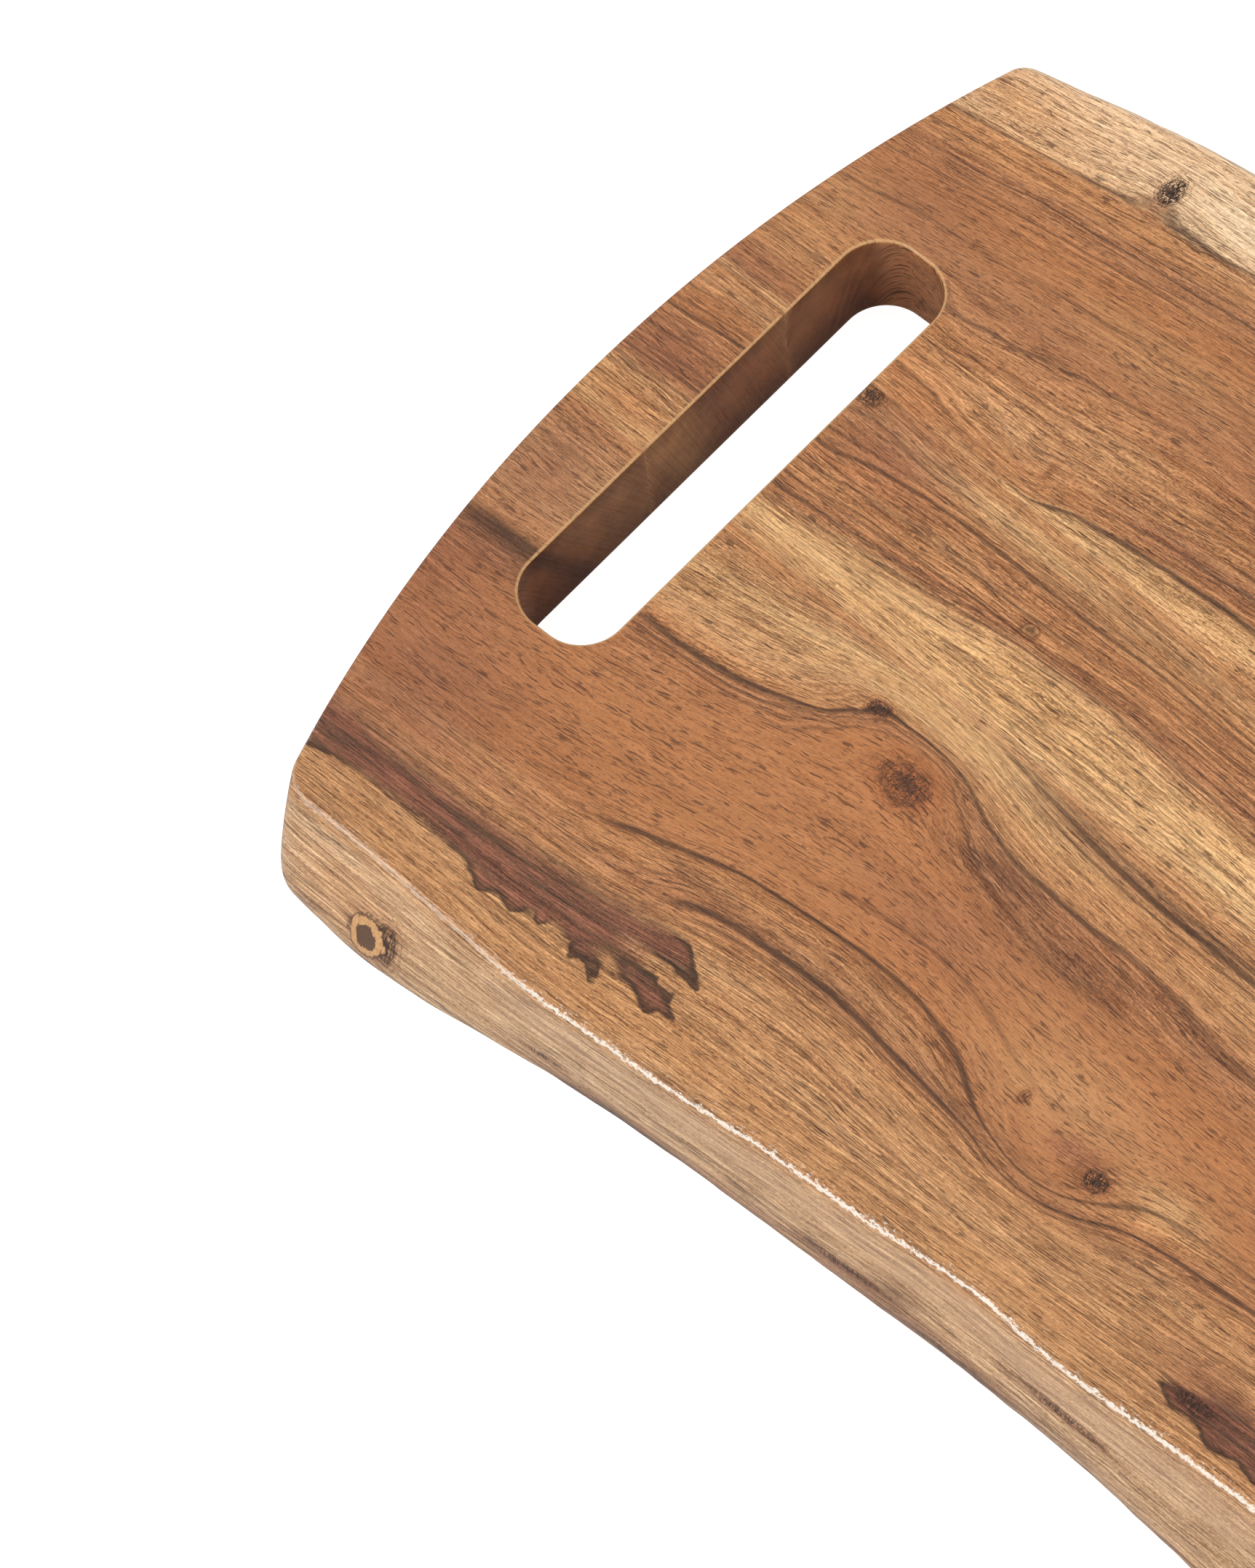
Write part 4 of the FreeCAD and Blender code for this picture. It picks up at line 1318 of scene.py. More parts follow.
class NodeSketch:
    """Short-hand for laying out nodes in a material's or a group's tree."""

    def __init__(self, tree: Tree) -> None:
        """Wraps a tree."""
        self.tree = tree

    def add(self, kind: str, **settings: object) -> Node:
        """Adds a node.

        Args:
            kind: The node's type.
            settings: Its plain properties.

        Returns:
            The node.
        """
        node = self.tree.nodes.new(kind)
        for name, value in settings.items():
            setattr(node, name, value)
        return node

    def plug(self, value: object, socket: Socket) -> None:
        """Links a socket, or sets its value when given a plain one.

        Args:
            value: An output socket or a plain value.
            socket: The input to feed.
        """
        if isinstance(value, Socket):
            self.tree.links.new(value, socket)
        else:
            socket.default_value = value

    def wire(self, node: Node, *values: object, **named: object) -> Node:
        """Feeds a node's inputs.

        Args:
            node: The node.
            values: Its first inputs, in order.
            named: Inputs by name, with an underscore for each space.

        Returns:
            The node.
        """
        for value, socket in zip(values, node.inputs):
            self.plug(value, socket)
        for name, value in named.items():
            self.plug(value, node.inputs[name.replace("_", " ")])
        return node

    def math(self, operation: str, *values: object) -> Socket:
        """A Math node's result."""
        return self.wire(self.add("ShaderNodeMath", operation=operation), *values).outputs[0]

    def times(self, first: object, second: object) -> Socket:
        """Multiplies two values."""
        return self.math("MULTIPLY", first, second)

    def centred(self, value: object) -> Socket:
        """Moves a value about 0.5, such as a noise, to be about 0."""
        return self.math("SUBTRACT", value, 0.5)

    def vector(self, operation: str, *values: object) -> Socket:
        """A Vector Math node's number for LENGTH, and its vector otherwise."""
        node = self.wire(self.add("ShaderNodeVectorMath", operation=operation), *values)
        return node.outputs["Value" if operation == "LENGTH" else "Vector"]

    def noise(self, place: object, detail: float = 2.0, roughness: float = 0.5,
              distortion: float = 0.0) -> Socket:
        """A Noise Texture of unit scale: a value about 0.5."""
        return self.wire(self.add("ShaderNodeTexNoise"), Vector=place, Scale=1.0, Detail=detail,
                         Roughness=roughness, Distortion=distortion).outputs["Fac"]

    def span(self, value: object, low: float, high: float, to_low: float = 0.0,
             to_high: float = 1.0, smooth: bool = True) -> Socket:
        """A clamped Map Range node.

        Args:
            value: What is mapped.
            low: What becomes to_low.
            high: What becomes to_high.
            to_low: The result at low.
            to_high: The result at high.
            smooth: Whether it eases in and out.

        Returns:
            The mapped value.
        """
        kind = "SMOOTHSTEP" if smooth else "LINEAR"
        return self.wire(self.add("ShaderNodeMapRange", interpolation_type=kind), Value=value,
                         From_Min=low, From_Max=high, To_Min=to_low, To_Max=to_high).outputs[0]

    def blend(self, share: object, first: object, second: object, mode: str = "MIX") -> Socket:
        """A colour Mix node.

        Args:
            share: How much of the second colour is taken.
            first: The first colour.
            second: The second colour.
            mode: How they mix.

        Returns:
            The mixed colour.
        """
        node = self.add("ShaderNodeMix", data_type="RGBA", blend_type=mode)
        # The colour sockets come after those of the node's other data types.
        for value, place in ((share, 0), (first, 6), (second, 7)):
            self.plug(value, node.inputs[place])
        return node.outputs[2]

    def tint(self, first: object, second: object) -> Socket:
        """Multiplies two colours."""
        return self.blend(1.0, first, second, "MULTIPLY")

    def darken(self, colour: object, share: Socket) -> Socket:
        """Multiplies a colour by a number."""
        return self.tint(colour, self.join(share, share, share))

    def join(self, x: object, y: object, z: object) -> Socket:
        """A Combine XYZ node's vector."""
        return self.wire(self.add("ShaderNodeCombineXYZ"), x, y, z).outputs[0]

    def split(self, value: object) -> Tuple[Socket, ...]:
        """A Separate XYZ node's three parts."""
        return tuple(self.wire(self.add("ShaderNodeSeparateXYZ"), value).outputs)

    def ramp(self, value: object, stops: Sequence[Tuple[float, float]]) -> Socket:
        """A grey Color Ramp.

        Args:
            value: What is looked up.
            stops: Rising positions with their brightness.

        Returns:
            The brightness.
        """
        node = self.wire(self.add("ShaderNodeValToRGB"), value)
        elements = node.color_ramp.elements
        while len(elements) < len(stops):
            elements.new(1.0)
        for element, (position, grey) in zip(elements, stops):
            element.position = position
            element.color = (grey, grey, grey, 1.0)
        return node.outputs["Color"]

    def group(self, tree: Tree, **values: object) -> Node:
        """Places a group and feeds its inputs."""
        return self.wire(self.add("ShaderNodeGroup", node_tree=tree), **values)

    def put_out(self, out: Node, **values: Socket) -> Tree:
        """Feeds a group's outputs, which makes the group whole."""
        self.wire(out, **values)
        return self.tree

    def relief(self, height: object, strength: float, depth: float, shader: Node) -> None:
        """Feeds a shader's normal from a Bump node.

        Args:
            height: The relief, as a value.
            strength: The node's strength.
            depth: The relief's depth in mm.
            shader: The shader node.
        """
        bump = self.wire(self.add("ShaderNodeBump"), Strength=strength, Distance=depth * MM,
                         Height=height)
        self.wire(shader, Normal=bump.outputs["Normal"])


def new_group(name: str, inputs: Sequence[Tuple[str, str, object]],
              outputs: Sequence[Tuple[str, str]]) -> Tuple[NodeSketch, Node, Node]:
    """Makes a shader node group with named sockets.

    Args:
        name: The group's name.
        inputs: Name, kind (Float, Vector or Color) and default of each input.
        outputs: Name and kind of each output.

    Returns:
        A sketch of the group's tree, its input node and its output node.
    """
    tree = bpy.data.node_groups.new(name, "ShaderNodeTree")
    for label, kind, default in inputs:
        socket = tree.interface.new_socket(label, in_out="INPUT", socket_type="NodeSocket" + kind)
        if default is not None:
            socket.default_value = default
    for label, kind in outputs:
        tree.interface.new_socket(label, in_out="OUTPUT", socket_type="NodeSocket" + kind)
    sketch = NodeSketch(tree)
    return sketch, sketch.add("NodeGroupInput"), sketch.add("NodeGroupOutput")


# What the wood's colour is multiplied by round a knot, in its warmer streaks, and where
# the fibres are cut across.
KNOT_STAIN: Colour = (0.72, 0.56, 0.50, 1.0)
WARM_STAIN: Colour = (1.02, 0.90, 0.78, 1.0)
END_STAIN: Colour = (0.64, 0.54, 0.47, 1.0)


def build_grain_group() -> Tree:
    """Fine structure of long grain: broad shading, streaks, fibres and pores.

    Returns:
        The group.
    """
    sketch, given, out = new_group(
        "wood_grain",
        (("Grain", "Vector", None), ("Life", "Float", 1.0)),
        (("Shade", "Float"), ("Warmth", "Float"), ("Streaks", "Float"), ("Pores", "Float"),
         ("Flecks", "Float"), ("Fibres", "Float")),
    )
    along, across, flow = sketch.split(given.outputs["Grain"])
    sway = sketch.noise(sketch.join(
        sketch.math("MULTIPLY", along, 0.035), sketch.math("MULTIPLY", flow, 0.16), 1.0), 3.0)
    jitter = sketch.noise(sketch.join(
        sketch.math("MULTIPLY", along, 0.22), sketch.math("MULTIPLY", flow, 0.9), 2.0), 2.0)
    drift = sketch.math("MULTIPLY_ADD", sway, 2.6, sketch.math("MULTIPLY", jitter, 0.55))
    swayed = sketch.math("ADD", across, drift)
    flowing = sketch.math("ADD", flow, drift)

    def stretched(rate_along: float, rate_across: float, shift: float,
                  sideways: Socket = swayed) -> Socket:
        """A place for noise that is drawn out along the rings.

        Args:
            rate_along: Noise cells per mm along the grain.
            rate_across: Noise cells per mm across it.
            shift: Sets this noise apart from the others.
            sideways: The coordinate across the grain.

        Returns:
            The place.
        """
        return sketch.join(
            sketch.math("MULTIPLY_ADD", along, rate_along, shift),
            sketch.math("MULTIPLY", sideways, rate_across), shift)

    def fibrous(rate_along: float, rate_across: float, shift: float) -> Socket:
        """The same along the fibres, which follow the rings more loosely."""
        return stretched(rate_along, rate_across, shift, flowing)

    broad = sketch.noise(stretched(0.007, 0.17, 3.0), 4.0, 0.55)
    warmth = sketch.noise(stretched(0.012, 0.11, 11.0), 3.0, 0.5)
    medium = sketch.noise(stretched(0.013, 0.85, 7.0), 5.0, 0.62)
    late = sketch.noise(stretched(0.009, 0.75, 23.0), 4.0, 0.6)
    where = sketch.noise(stretched(0.016, 0.12, 31.0), 2.0)
    fibre = sketch.noise(fibrous(0.10, 3.6, 41.0), 2.0, 0.65)
    fine = sketch.noise(fibrous(0.06, 1.25, 89.0), 4.0, 0.72)
    grit = sketch.noise(fibrous(1.1, 5.0, 83.0), 1.0)
    ridge = sketch.math("ABSOLUTE", sketch.math("SUBTRACT", late, 0.5))
    streaks = sketch.span(ridge, 0.034, 0.0)
    streaks = sketch.math("MULTIPLY", streaks, sketch.span(where, 0.32, 0.60))
    streaks = sketch.math("MULTIPLY", streaks, given.outputs["Life"])
    broken = sketch.noise(stretched(0.16, 1.6, 47.0), 2.0)
    streaks = sketch.math("MULTIPLY", streaks, sketch.span(broken, 0.3, 0.56))

    swing = sketch.math("MULTIPLY_ADD", given.outputs["Life"], 1.9, 0.10)
    parts = ((broad, 0.36), (medium, 1.2), (fine, 1.2), (fibre, 1.3), (grit, 1.0))
    patchy = sketch.span(where, 0.35, 0.65, 0.55, 1.25)
    total = 0.0
    for value, weight in parts:
        part = sketch.math("MULTIPLY", sketch.math("SUBTRACT", value, 0.5), weight)
        if value is fine:
            part = sketch.math("MULTIPLY", part, patchy)
        total = sketch.math("ADD", part, total)
    shade = sketch.math("MAXIMUM", sketch.math("MULTIPLY_ADD", total, swing, 1.0), 0.38)

    # Thin dark hairs where the wood is lively.
    hair = sketch.noise(fibrous(0.055, 1.7, 97.0), 2.0, 0.6)
    hairs = sketch.math("MULTIPLY", sketch.span(hair, 0.40, 0.33), given.outputs["Life"])
    streaks = sketch.math("MAXIMUM", streaks, sketch.math("MULTIPLY", hairs, 0.8))

    dash = sketch.noise(fibrous(0.20, 3.0, 53.0), 0.0)
    speck = sketch.noise(fibrous(0.45, 4.4, 59.0), 0.0)
    crowd = sketch.noise(stretched(0.05, 0.40, 61.0), 1.0)
    gate = sketch.span(crowd, 0.3, 0.7, 0.71, 0.61, smooth=False)
    long_pores = sketch.span(sketch.math("SUBTRACT", dash, gate), 0.0, 0.03)
    short_pores = sketch.span(sketch.math("SUBTRACT", speck, gate), -0.01, 0.03)
    pores = sketch.math("MAXIMUM", long_pores, sketch.math("MULTIPLY", short_pores, 0.75))
    glint = sketch.noise(fibrous(0.45, 3.1, 71.0), 1.0)
    flecks = sketch.span(glint, 0.70, 0.77)
    return sketch.put_out(out, Shade=shade, Warmth=warmth, Streaks=streaks, Pores=pores,
                          Flecks=flecks, Fibres=fibre)


def build_end_grain_group() -> Tree:
    """Cut ends of the fibres: a dense speckle of pores with faint ring arcs.

    Returns:
        The group.
    """
    sketch, given, out = new_group(
        "end_grain",
        (("Place", "Vector", None), ("Grain", "Vector", None)),
        (("Shade", "Float"), ("Pores", "Float")),
    )
    _, across, _ = sketch.split(given.outputs["Grain"])
    place = given.outputs["Place"]
    speck = sketch.noise(sketch.vector("MULTIPLY", place, (1.8, 1.8, 1.8)), 2.0)
    mottle = sketch.noise(sketch.vector("MULTIPLY", place, (0.16, 0.16, 0.16)), 3.0)
    rings = sketch.noise(sketch.join(sketch.math("MULTIPLY", across, 0.9), 0.0, 0.0), 3.0)
    shade = 1.0
    for value, weight in ((mottle, 1.0), (rings, 0.9), (speck, 0.8)):
        shade = sketch.math("MULTIPLY_ADD", sketch.math("SUBTRACT", value, 0.5), weight, shade)
    return sketch.put_out(out, Shade=shade, Pores=sketch.span(speck, 0.62, 0.7))


def build_knot_noise_group() -> Tree:
    """Irregularities that all the knots of a stave share.

    Returns:
        The group.
    """
    sketch, given, out = new_group(
        "knot_noise",
        (("Place", "Vector", None),),
        (("Wobble", "Float"), ("Fine", "Float"), ("Split", "Float")),
    )
    place = given.outputs["Place"]
    wobble = sketch.noise(sketch.vector("MULTIPLY", place, (0.45, 0.45, 0.1)), 3.0, 0.6)
    fine = sketch.noise(sketch.vector("MULTIPLY", place, (2.2, 2.2, 0.2)), 3.0, 0.6)
    veins = sketch.noise(sketch.vector("MULTIPLY", place, (1.5, 0.5, 0.1)), 2.0, 0.5, 0.6)
    gap = sketch.math("ABSOLUTE", sketch.math("SUBTRACT", veins, 0.5))
    return sketch.put_out(out, Wobble=sketch.math("SUBTRACT", wobble, 0.5), Fine=fine,
                          Split=sketch.span(gap, 0.075, 0.02))


def build_knot_group() -> Tree:
    """A knot painted over the wood's colour: halo, rings, dark heart and cracks.

    Returns:
        The group.
    """
    sketch, given, out = new_group(
        "wood_knot",
        (("Color", "Color", None), ("Place", "Vector", None), ("Centre", "Vector", None),
         ("Stretch", "Vector", (1.0, 1.0, 1.0)), ("Dark", "Float", 0.8), ("Red", "Float", 0.6),
         ("Crack", "Float", 0.0), ("Eye", "Float", 0.0), ("Wobble", "Float", 0.0),
         ("Fine", "Float", 0.5), ("Split", "Float", 0.0)),
        (("Color", "Color"), ("Relief", "Float")),
    )
    gap = sketch.vector("SUBTRACT", given.outputs["Place"], given.outputs["Centre"])
    reach = sketch.vector("LENGTH", sketch.vector("MULTIPLY", gap, given.outputs["Stretch"]))
    ragged = sketch.math("MULTIPLY_ADD", given.outputs["Wobble"], 0.9, reach)
    fine = given.outputs["Fine"]
    dark, eye = given.outputs["Dark"], given.outputs["Eye"]
    plain = sketch.math("SUBTRACT", 1.0, eye)
    halo = sketch.math("MULTIPLY", sketch.span(ragged, 2.2, 0.5), given.outputs["Red"])
    reddened = sketch.tint(given.outputs["Color"], KNOT_STAIN)
    colour = sketch.blend(halo, given.outputs["Color"], reddened)
    turns = sketch.math("SINE", sketch.math("MULTIPLY_ADD", ragged, 16.0,
                                            sketch.math("MULTIPLY", fine, 3.0)))
    arcs = sketch.math("MULTIPLY", sketch.span(turns, 0.45, 0.95), sketch.span(ragged, 2.1, 1.0))
    arcs = sketch.math("MULTIPLY", arcs, sketch.span(fine, 0.36, 0.56))
    arcs = sketch.math("MULTIPLY", arcs, sketch.math("MULTIPLY", dark, 0.85))
    arcs = sketch.math("MULTIPLY", arcs, sketch.math("MULTIPLY_ADD", eye, -0.9, 1.0))
    colour = sketch.blend(arcs, colour, rgba(Tone.LINE))
    rim = sketch.math("MULTIPLY", sketch.span(ragged, 0.80, 0.95), sketch.span(ragged, 1.12, 0.98))
    rim = sketch.math("MULTIPLY", rim, sketch.math("MULTIPLY", dark, 0.75))
    colour = sketch.blend(rim, colour, rgba(Tone.LINE))
    body = sketch.math("MULTIPLY", sketch.span(ragged, 0.95, 0.84), eye)
    colour = sketch.blend(body, colour, sketch.blend(sketch.span(fine, 0.3, 0.7), rgba(Tone.GOLD),
                                                     rgba(Tone.HONEY)))
    # A plain knot's heart breaks up raggedly; an eye's heart is round and even.
    broken = sketch.math("SUBTRACT", sketch.math("MULTIPLY_ADD", fine, 1.5, 0.25), ragged)
    round_heart = sketch.math("MULTIPLY", sketch.span(ragged, 0.58, 0.50), eye)
    heart = sketch.math("MULTIPLY", sketch.span(broken, 0.30, 0.75), plain)
    heart = sketch.math("MULTIPLY", sketch.math("ADD", heart, round_heart), dark)
    colour = sketch.blend(heart, colour, rgba(Tone.KNOT_DARK))
    veins = sketch.math("MULTIPLY", given.outputs["Split"], sketch.span(ragged, 1.25, 0.7))
    veins = sketch.math("MULTIPLY", veins, sketch.math("MULTIPLY", dark, 0.85))
    veins = sketch.math("MULTIPLY", veins, plain)
    colour = sketch.blend(veins, colour, rgba(Tone.CHAR))
    split = sketch.math("MULTIPLY", given.outputs["Split"], sketch.span(ragged, 1.15, 0.85))
    split = sketch.math("MULTIPLY", split, given.outputs["Crack"])
    colour = sketch.blend(split, colour, rgba(Tone.CHAR))
    relief = sketch.math("MULTIPLY_ADD", heart, -0.5, sketch.math("MULTIPLY", split, -1.0))
    return sketch.put_out(out, Color=colour, Relief=relief)


def build_wood_group(grain: Tree, end_grain: Tree) -> Tree:
    """Acacia from its figure attributes: everything but the knots.

    Args:
        grain: The long grain's group.
        end_grain: The end grain's group.

    Returns:
        The group.
    """
    sketch, given, out = new_group(
        "acacia_wood",
        (("Grain", "Vector", None), ("Tone", "Color", None), ("Life", "Float", 1.0),
         ("Marks", "Vector", None), ("Ink", "Float", 0.0), ("Place", "Vector", None),
         ("Rim", "Float", 0.0), ("Arris", "Float", 0.0), ("Side", "Float", 0.0)),
        (("Color", "Color"), ("Height", "Float"), ("Gloss", "Float")),
    )
    source = sketch.group(grain, Grain=given.outputs["Grain"], Life=given.outputs["Life"])
    ends = sketch.group(end_grain, Place=given.outputs["Place"], Grain=given.outputs["Grain"])
    flame_depth, flame_soft, end_share = sketch.split(given.outputs["Marks"])
    along, across, _ = sketch.split(given.outputs["Grain"])
    _, _, up = sketch.split(given.outputs["Place"])

    # Darker grain is also redder, and lighter grain paler.
    shade = source.outputs["Shade"]
    warm_shade = sketch.join(sketch.math("POWER", shade, 0.82), shade,
                             sketch.math("POWER", shade, 1.15))
    colour = sketch.tint(given.outputs["Tone"], warm_shade)
    warm = sketch.span(source.outputs["Warmth"], 0.3, 0.7)
    colour = sketch.blend(sketch.math("MULTIPLY", warm, 0.45), colour,
                          sketch.tint(colour, WARM_STAIN))
    colour = sketch.blend(sketch.math("MULTIPLY", source.outputs["Streaks"], 0.8), colour,
                          rgba(Tone.LINE))

    fade = sketch.noise(sketch.join(sketch.math("MULTIPLY", along, 0.03),
                                    sketch.math("MULTIPLY", across, 0.2), 5.0), 2.0)
    ink = sketch.math("MULTIPLY", given.outputs["Ink"], sketch.span(fade, 0.25, 0.45, 0.5, 1.0))
    ink = sketch.math("MULTIPLY", ink, sketch.span(source.outputs["Fibres"], 0.38, 0.56, 0.72, 1.0))
    colour = sketch.blend(sketch.math("MULTIPLY", ink, 0.95), colour, rgba(Tone.LINE))

    tear = sketch.noise(sketch.join(sketch.math("MULTIPLY", along, 0.22),
                                    sketch.math("MULTIPLY", across, 0.5), 9.0), 4.0, 0.65)
    torn = sketch.math("MULTIPLY_ADD", sketch.math("SUBTRACT", tear, 0.5), 2.6,
                       sketch.math("ADD", flame_depth, 0.8))
    low = sketch.math("MULTIPLY", flame_soft, -0.5)
    inside = sketch.span(torn, low, flame_soft)
    dark_edge = sketch.math("MULTIPLY", sketch.span(torn, 1.9, 0.6),
                            sketch.span(flame_soft, 2.8, 1.2))
    smoke = sketch.noise(sketch.join(sketch.math("MULTIPLY", along, 0.045),
                                     sketch.math("MULTIPLY", across, 0.35), 13.0), 3.0, 0.6)
    flame = sketch.blend(sketch.span(smoke, 0.42, 0.66), rgba(Tone.FLAME), rgba(Tone.KNOT_DARK))
    flame = sketch.blend(sketch.math("MULTIPLY", dark_edge, 0.9), flame, rgba(Tone.CHAR))
    flame = sketch.darken(flame, shade)
    flame = sketch.blend(sketch.span(source.outputs["Streaks"], 0.2, 0.8, 0.0, 0.5), flame,
                         rgba(Tone.KNOT_DARK))
    colour = sketch.blend(sketch.math("MULTIPLY", inside, 0.88), colour, flame)

    colour = sketch.blend(sketch.math("MULTIPLY", source.outputs["Flecks"], 0.16), colour,
                          rgba(Tone.SAP_CREAM))
    open_pores = sketch.math("MULTIPLY", source.outputs["Pores"],
                             sketch.math("MULTIPLY_ADD", given.outputs["Side"], -0.50, 0.66))
    colour = sketch.blend(open_pores, colour, rgba(Tone.PORE))

    end_colour = sketch.tint(given.outputs["Tone"], END_STAIN)
    # Painted shade: end grain is darkened towards the underside, standing in for the shade deep in the
    # slots, and is also darker just under the top rim.
    end_tone_and_painted_shade = sketch.math("MULTIPLY", ends.outputs["Shade"],
                            sketch.span(up, BOARD_BOTTOM, 22.0, 0.66, 1.0))
    end_tone_and_painted_shade = sketch.math("MULTIPLY", end_tone_and_painted_shade, sketch.span(up, 29.0, 35.0, 1.0, 0.74))
    end_colour = sketch.darken(end_colour, end_tone_and_painted_shade)
    end_colour = sketch.blend(sketch.math("MULTIPLY", ends.outputs["Pores"], 0.5), end_colour,
                              rgba(Tone.KNOT_DARK))
    colour = sketch.blend(end_share, colour, end_colour)
    # Painted sheen: the upper half of a live side is blended towards a cooler, pinkish colour along most
    # of the board, standing in for the satin coat's reflection.
    sheen = sketch.math("MULTIPLY", sketch.span(up, 25.0, 30.0), sketch.span(along, -172.0, -145.0))
    sheen = sketch.math("MULTIPLY", sheen, sketch.math("MULTIPLY", given.outputs["Side"], 0.26))
    colour = sketch.blend(sheen, colour, rgba(Tone.SIDE_ROSE))
    # Painted highlights on the rounded rims: a pale honey line along the slots' rims, and a speckled
    # white glint along the live arrises.
    highlight_noise = sketch.noise(sketch.vector("MULTIPLY", given.outputs["Place"], (0.8, 1.5, 1.5)), 3.0,
                         0.7)
    lip = sketch.math("ABSOLUTE", sketch.math("SUBTRACT", up, BOARD_TOP - 0.42))
    worn = sketch.math("MULTIPLY", given.outputs["Rim"], sketch.span(lip, 0.34, 0.14))
    worn = sketch.math("MULTIPLY", worn, sketch.span(highlight_noise, 0.3, 0.6, 0.45, 0.9))
    colour = sketch.blend(worn, colour, rgba(Tone.HONEY))
    # Painted glint: a speckled white line along the live arrises.
    glint_level = sketch.math("MULTIPLY_ADD", sketch.math("SUBTRACT", highlight_noise, 0.5), 1.7, up)
    glint_gap = sketch.math("ABSOLUTE", sketch.math("SUBTRACT", glint_level, BOARD_TOP - 0.55))
    arris_glint = sketch.math("MULTIPLY", given.outputs["Arris"], sketch.span(glint_gap, 0.36, 0.10))
    colour = sketch.blend(sketch.math("MULTIPLY", arris_glint, 0.92), colour, rgba(Tone.FROST))

    height = sketch.math("MULTIPLY_ADD", source.outputs["Pores"], -1.0,
                         sketch.math("MULTIPLY", source.outputs["Fibres"], 0.35))
    gloss = sketch.math("MULTIPLY_ADD", source.outputs["Fibres"], 0.16, 0.30)
    gloss = sketch.math("MULTIPLY_ADD", source.outputs["Pores"], 0.25, gloss)
    return sketch.put_out(out, Color=colour, Height=height, Gloss=gloss)


@dataclass(frozen=True)
class Lacquer:
    """The clear satin coat over the wood."""

    weight: float = 0.15
    roughness: float = 0.2
    specular: float = 0.22
    strength: float = 0.5
    relief: float = 0.05


@dataclass(frozen=True)
class SpeckledFinish:
    """A finish that clouds between two tones, under a fine relief."""

    name: str
    cloud_scale: float
    relief_scale: Tuple[float, float, float]
    tones: Tuple[Colour, Colour]
    tone_span: Tuple[float, float]
    roughness: Tuple[float, float]
    rough_relief: bool
    strength: float
    depth: float
    metallic: float = 0.0


RUBBER = SpeckledFinish(
    "moulded_rubber", 160.0, (2600.0, 2600.0, 2600.0),
    tones=((0.012, 0.012, 0.013, 1.0), (0.040, 0.038, 0.036, 1.0)), tone_span=(0.35, 0.7),
    roughness=(0.52, 0.74), rough_relief=False, strength=0.35, depth=0.05,
)
ZINC = SpeckledFinish(
    "zinc_plated_steel", 420.0, (500.0, 6000.0, 900.0),
    tones=((0.50, 0.50, 0.49, 1.0), (0.63, 0.63, 0.60, 1.0)), tone_span=(0.35, 0.65),
    roughness=(0.26, 0.42), rough_relief=True, strength=0.2, depth=0.02, metallic=1.0,
)


